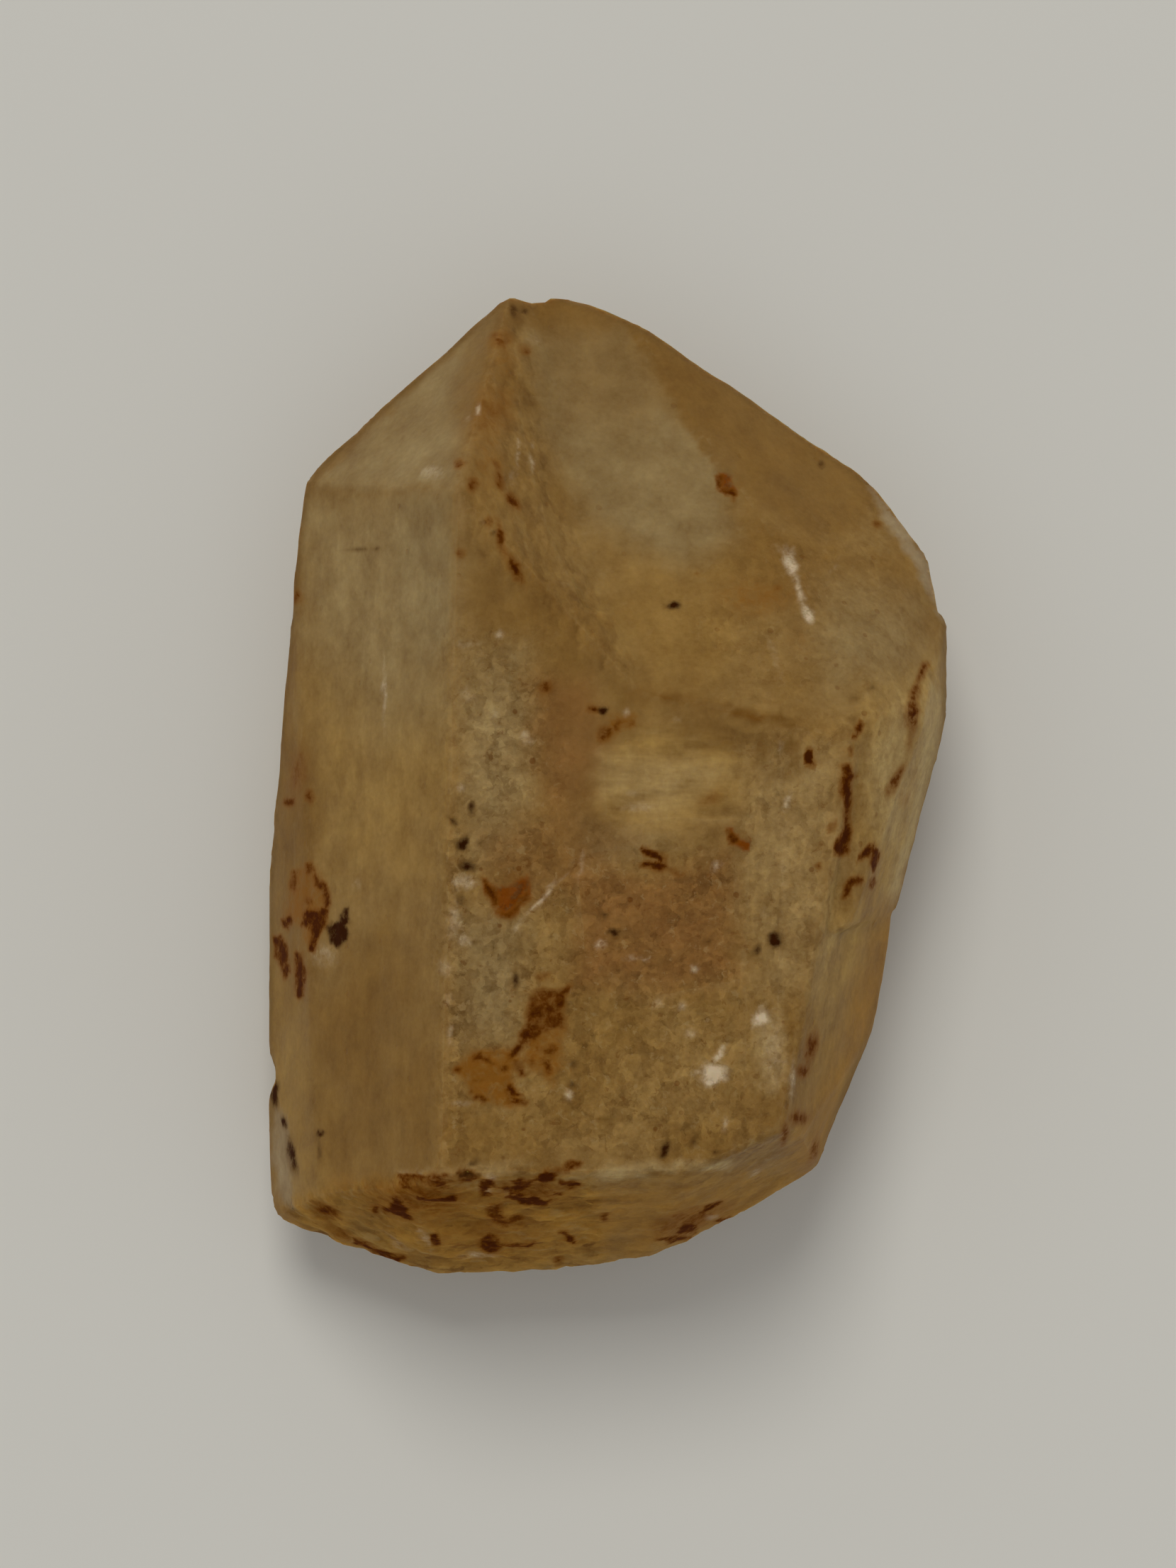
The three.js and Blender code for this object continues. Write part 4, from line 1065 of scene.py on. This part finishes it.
def carveRelief(skin, material):
    tree = reliefTree(material)
    relief = skin.modifiers.new("relief", "NODES")
    relief.node_group = tree
    for item in tree.interface.items_tree:
        if item.in_out == "INPUT" and item.name in reliefSizes:
            relief[item.identifier] = reliefSizes[item.name]
    mesh = applied(skin)
    low, high = np.array(cadLow) / mm, np.array(cadHigh) / mm
    setPoints(mesh, np.clip(pointsOf(mesh), low, high))
    mesh.transform(Matrix.Scale(mm, 4))
    mesh.shade_smooth()
    print("relief carved")


citrineLook = {
    "amber": (0.350, 0.205, 0.062),
    "deepAmber": (0.300, 0.162, 0.040),
    "khaki": (0.345, 0.232, 0.095),
    "pale": (0.500, 0.350, 0.150),
    "honey": (0.430, 0.255, 0.070),
    "russet": (0.290, 0.135, 0.036),
    "umber": (0.250, 0.125, 0.026),
    "toffee": (0.380, 0.183, 0.030),
    # the painted light of thin edges that light shines through
    "thinEdgeLight": (0.400, 0.300, 0.175),
    # the painted shade of the dark line along the outline
    "outlineShade": (0.150, 0.080, 0.018),
    # the painted shade of the steep flanks
    "flankShade": (0.160, 0.095, 0.022),
    "ochre": (0.300, 0.115, 0.010),
    "rust": (0.160, 0.042, 0.0),
    "rustCore": (0.072, 0.012, 0.0),
    "ember": (0.250, 0.060, 0.001),
    "brown": (0.195, 0.089, 0.013),
    "soot": (0.040, 0.007, 0.0),
    # the pale of the milky veils and of the painted glints
    "veilAndGlint": (0.860, 0.700, 0.480),
    "dusk": (0.52, 0.43, 0.33),  # what the darkest spots of the mottling keep of the colour
    "glow": (1.48, 1.57, 1.67),  # and the brightest
    "clouding": (0.35, 0.65),    # heights of the cloud pattern between amber and deep amber
    "flankCover": 0.5,
    "wearCover": 0.15,
    "rimMottle": (0.36, 0.62),   # heights of the mottling between which the dark line fades in
    "rimCover": (0.1, 0.62),
    "flakeSize": 0.75,           # millimetres
    "chipSize": 0.3,
    "bends": (0.9, 0.9, 0.9),    # how far the bent patterns wander
    "pitSpacing": 1.1,           # millimetres
    "pitReach": (0.135, 0.09),   # shares of the spacing between which a pit deepens
    "pitChance": (0.5, 0.7),
    "roughness": 0.45,
    "mottleRoughness": 0.3,
    "stainRoughness": 0.3,
    "flankRoughness": 0.35,
    "brokenRoughness": 0.4,
    "stainedFrom": (0.3, 0.8),   # strengths of rust and soot between which the surface turns dull
    "bumpStrength": 0.5,
    "bumpReach": 0.1,            # millimetres
    "mottleBump": 0.4,
    "pitBump": 0.5,
    "gloss": 0.03,
    "glossTint": (1.0, 0.72, 0.30),
    "indexOfRefraction": 1.544,
    "seeThrough": 0.12,
    "scattered": 0.7,
    "scatterTint": (1.0, 0.6, 0.3),
    "scatterReach": 0.8,         # millimetres
    "absorbed": (0.93, 0.80, 0.55),
    "absorption": 320.0,
}

# The patterns of the colour: their size in millimetres, how they are drawn out (a small number is a
# long way) across, along and up, their detail and roughness, and whether they are bent
patterns = {
    "cloud": (4.0, (1.0, 1.0, 1.0), 3.0, 0.5, False),
    "mottle": (1.5, (1.0, 1.0, 1.0), 5.0, 0.6, False),
    "grain": (0.24, (1.0, 1.0, 1.0), 3.0, 0.6, False),
    "streak": (1.4, (1.0, 0.16, 1.0), 4.0, 0.6, False),
    "layer": (0.6, (0.25, 1.0, 1.0), 3.0, 0.6, False),
    "upright": (0.45, (1.0, 0.3, 0.6), 3.0, 0.5, True),
    "level": (0.8, (0.35, 1.0, 1.0), 2.0, 0.5, True),
    # the same waves as the relief's shells
    "shell": (reliefSizes["Shell size"], (1.0, 1.0, 1.0), 3.0, 0.5, False),
    "tatter": (0.5, (1.0, 1.0, 1.0), 4.0, 0.65, True),
}

# How much each pattern darkens and lightens the colour: everywhere, and more on a kind of surface
patternShares = {
    "mottle": (0.8, {"etched": -0.35}),
    "grain": (0.35, {"etched": 0.5}),
    "flake": (0.06, {"etched": 0.4, "broken": 0.2}),
    "chip": (0.06, {"etched": 0.4, "broken": 0.2}),
    "streak": (0.2, {"streaked": 0.35}),
    "upright": (0.0, {"ridged": 1.1, "streaked": 0.7}),
    "layer": (0.1, {"layered": 0.9}),
    # on the broken base the shell pattern follows the relief: darker in its hollows, painted shade, and
    # lighter on its crests, painted light
    "shell": (0.0, {"broken": 1.2}),
}
pitShares = (0.15, {"etched": 0.6})
grainBump = (0.3, {"etched": 0.5, "broken": 0.3})

# Small spots of a kind of surface: their pattern, the heights of it at which they begin and are
# whole, the surface, how well they cover, and their tone
spotLooks = [
    ("level", 0.42, 0.32, "broken", 0.45, "rustCore"),
    # painted highlights on the broken base
    ("level", 0.58, 0.68, "broken", 0.25, "pale"),
    ("tatter", 0.40, 0.32, "etched", 0.55, "rust"),
    # painted sheen: light flecks on the etched faces
    ("tatter", 0.58, 0.68, "etched", 0.45, "pale"),
]

# How the marks are laid, from the lowest: their kind, how far the border frays, the strengths at
# which they begin and are whole, how well they cover, and their tone
markLooks = [
    ("ochre", 1.0, 0.1, 1.5, 0.95, "ochre"),
    ("brown", 0.7, 0.05, 1.3, 0.85, "brown"),
    # the pale veils and the painted glints
    ("veilAndGlint", 1.0, 0.1, 1.3, 0.85, "veilAndGlint"),
    ("ember", 0.8, 0.1, 1.2, 0.98, "ember"),
    ("rust", 0.0, 0.03, 0.4, 0.4, "ochre"),
    ("rust", 1.0, 0.1, 0.8, 0.97, "rust"),
    ("rust", 1.0, 0.5, 1.1, 1.0, "rustCore"),
    ("soot", 0.0, 0.05, 0.5, 0.35, "umber"),
    ("soot", 0.8, 0.1, 0.95, 1.0, "soot"),
]
frayShares = {"tatter": 2.4, "grain": 1.0}
emberCore = (0.52, 0.36, 0.0, 0.7)  # heights of the tatter between which ember darkens, and how much


class CrystalSheet(Sheet):
    # the crystal's shader, with its patterns, its pits and the kinds of surface painted on the skin
    def __init__(self, tree):
        super().__init__(tree)
        look = citrineLook
        place = self.scaled(self.node("ShaderNodeTexCoord", output="Object"), 1 / mm)
        bend = self.cloud(place, look["flakeSize"], detail=3.0, roughness=0.6, output=1)
        bending = {0: bend, 1: look["bends"], 2: place}
        bent = self.node("ShaderNodeVectorMath", {"operation": "MULTIPLY_ADD"}, bending)
        self.pattern = {}
        for name, (size, stretch, detail, roughness, isBent) in patterns.items():
            drawnOut = self.stretched(bent if isBent else place, stretch)
            self.pattern[name] = self.cloud(drawnOut, size, detail, roughness)
        self.pattern["flake"] = self.cells(bent, look["flakeSize"], output="Color")
        self.pattern["chip"] = self.cells(bent, look["chipSize"], output="Color")
        self.surface = {name: self.mask(name) for name in textureZones}
        distance = self.cells(place, look["pitSpacing"], output="Distance")
        chance = self.cells(place, look["pitSpacing"], output="Color")
        self.pits = self.step(distance, *look["pitReach"]) * self.step(chance, *look["pitChance"])

    def mask(self, name):
        # what is painted on the skin by that name
        return self.node("ShaderNodeAttribute", {"attribute_name": name}, output="Fac")

    def shared(self, everywhere, shares):
        # a number that some kinds of surface add to
        total = everywhere
        for name, share in shares.items():
            total = total + share * self.surface[name]
        return total


def tone(name):
    return (*citrineLook[name], 1.0)


def tintedColour(sheet):
    # the amber of the crystal under its tints
    look = citrineLook
    mottle = sheet.pattern["mottle"]
    clouds = sheet.step(sheet.pattern["cloud"], *look["clouding"])
    colour = sheet.mixed(clouds, tone("amber"), tone("deepAmber"))
    # steep flanks darker: painted shade
    colour = sheet.mixed(sheet.mask("flankShade") * look["flankCover"], colour, tone("flankShade"))
    for name in tints:
        colour = sheet.mixed(sheet.mask(name) * (0.5 + mottle), colour, tone(name))
    colour = sheet.mixed(sheet.mask("wear") * look["wearCover"], colour, tone("pale"))
    # the dark line along the outline is painted shade, kept off the thin edges that light shines through
    outlineShade = sheet.mask("outlineShade") * (1 - sheet.mask("thinEdgeLight"))
    shown = sheet.step(mottle, *look["rimMottle"], *look["rimCover"])
    return sheet.mixed(outlineShade * shown, colour, tone("outlineShade"))


def mottledColour(sheet, colour):
    # darker and lighter by the patterns, with small spots
    mottling = 0.5
    for name, shares in patternShares.items():
        mottling = mottling + (sheet.pattern[name] - 0.5) * sheet.shared(*shares)
    dusk = sheet.stretched(colour, citrineLook["dusk"])
    glow = sheet.stretched(colour, citrineLook["glow"])
    colour = sheet.mixed(mottling, dusk, glow)
    for name, begin, whole, kind, cover, shade in spotLooks:
        spots = sheet.step(sheet.pattern[name], begin, whole) * sheet.surface[kind] * cover
        colour = sheet.mixed(spots, colour, tone(shade))
    return colour


def markedColour(sheet, colour):
    # the marks on top, with frayed borders, and how strong the rust and the soot are
    pattern = sheet.pattern
    frayed = sum((pattern[name] - 0.5) * share for name, share in frayShares.items())
    shades = {row[-1]: tone(row[-1]) for row in markLooks}
    emberDark = sheet.step(pattern["tatter"], *emberCore)
    shades["ember"] = sheet.mixed(emberDark, tone("ember"), tone("rustCore"))
    strength = {}
    for kind, fraying, begin, whole, cover, shade in markLooks:
        strength[kind] = sheet.mask(kind) * (1 + frayed * fraying)
        if kind == "ochre":
            strength[kind] = strength[kind] + sheet.surface["broken"] * (pattern["shell"] - 0.5)
        colour = sheet.mixed(sheet.step(strength[kind], begin, whole, 0.0, cover), colour, shades[shade])
    colour = sheet.mixed(sheet.pits * sheet.shared(*pitShares), colour, tone("rust"))
    return colour, strength["rust"] + strength["soot"]


def roughnessOf(sheet, stain):
    # the roughness, which is higher where the crystal is stained, broken or steep
    look = citrineLook
    return (
        look["roughness"]
        + look["mottleRoughness"] * (sheet.pattern["mottle"] - 0.5)
        + look["stainRoughness"] * sheet.step(stain, *look["stainedFrom"])
        + look["flankRoughness"] * sheet.mask("flankShade")
        + look["brokenRoughness"] * sheet.surface["broken"]
    )


def bumpedNormal(sheet):
    look = citrineLook
    grain = sheet.pattern["grain"] * sheet.shared(*grainBump)
    height = sheet.pattern["mottle"] * look["mottleBump"] + grain - sheet.pits * look["pitBump"]
    inputs = {"Strength": look["bumpStrength"], "Distance": look["bumpReach"] * mm, "Height": height}
    return sheet.node("ShaderNodeBump", None, inputs)


def citrineMaterial():
    look = citrineLook
    material = bpy.data.materials.new("citrine")
    material.use_nodes = True
    material.node_tree.nodes.clear()
    sheet = CrystalSheet(material.node_tree)
    colour, stain = markedColour(sheet, mottledColour(sheet, tintedColour(sheet)))
    body = sheet.node("ShaderNodeBsdfPrincipled", None, {
        "Base Color": colour,
        "Roughness": roughnessOf(sheet, stain),
        "Normal": bumpedNormal(sheet),
        "IOR": look["indexOfRefraction"],
        "Specular IOR Level": look["gloss"],
        "Specular Tint": (*look["glossTint"], 1.0),
        "Transmission Weight": look["seeThrough"],
        "Subsurface Weight": look["scattered"],
        "Subsurface Radius": look["scatterTint"],
        "Subsurface Scale": look["scatterReach"] * mm,
    })
    inner = sheet.node("ShaderNodeVolumeAbsorption", None, {
        "Color": (*look["absorbed"], 1.0),
        "Density": look["absorption"],
    })
    sheet.node("ShaderNodeOutputMaterial", None, {"Surface": body, "Volume": inner})
    return material


lightSetup = {
    "room": (0.80, 0.80, 0.80),
    "roomStrength": 0.48,
    "keyPlace": (-375, 2500, 4375),  # millimetres
    "keySize": 2000,                 # millimetres
    "keyPower": 82.0,                # watts
    "keyColour": (1.0, 0.99, 0.95),
    "floorColour": (0.775, 0.758, 0.70),
    "floorRoughness": 0.9,
    "floorSize": 1.6,                # metres
}


def makeFloor():
    half = lightSetup["floorSize"] / 2
    mesh = bpy.data.meshes.new("paleFloor")
    corners = [(-half, -half, 0), (half, -half, 0), (half, half, 0), (-half, half, 0)]
    mesh.from_pydata(corners, [], [(0, 1, 2, 3)])
    floor = link(bpy.data.objects.new("paleFloor", mesh))
    material = bpy.data.materials.new("palePaper")
    material.use_nodes = True
    paper = material.node_tree.nodes["Principled BSDF"]
    paper.inputs["Base Color"].default_value = (*lightSetup["floorColour"], 1.0)
    paper.inputs["Roughness"].default_value = lightSetup["floorRoughness"]
    mesh.materials.append(material)


def makeLight():
    scene = bpy.context.scene
    world = bpy.data.worlds.new("softRoom")
    world.use_nodes = True
    background = world.node_tree.nodes["Background"]
    background.inputs["Color"].default_value = (*lightSetup["room"], 1.0)
    background.inputs["Strength"].default_value = lightSetup["roomStrength"]
    scene.world = world
    keyData = bpy.data.lights.new("windowLight", "AREA")
    keyData.shape = "DISK"
    keyData.size = lightSetup["keySize"] * mm
    keyData.energy = lightSetup["keyPower"]
    keyData.color = lightSetup["keyColour"]
    key = link(bpy.data.objects.new("windowLight", keyData))
    key.location = Vector(lightSetup["keyPlace"]) * mm
    key.rotation_euler = (-key.location).to_track_quat("-Z", "Y").to_euler()
    scene.view_settings.view_transform = "Standard"


def makeCamera():
    cameraData = bpy.data.cameras.new("lookingDown")
    seenHigh = picture["high"] * picture["pixel"]
    distance = picture["cameraHeight"] - picture["level"]
    cameraData.lens = cameraData.sensor_width * distance / seenHigh
    cameraData.clip_start = 0.01
    camera = link(bpy.data.objects.new("lookingDown", cameraData))
    camera.location = Vector((*picture["cameraPlace"], picture["cameraHeight"])) * mm
    bpy.context.scene.camera = camera


makeCamera()
makeLight()
makeFloor()
crystal = makeSkin()
refine(crystal)
paint(crystal)
carveRelief(crystal, citrineMaterial())
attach(crystal, "root")
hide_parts("citrine_crystal")
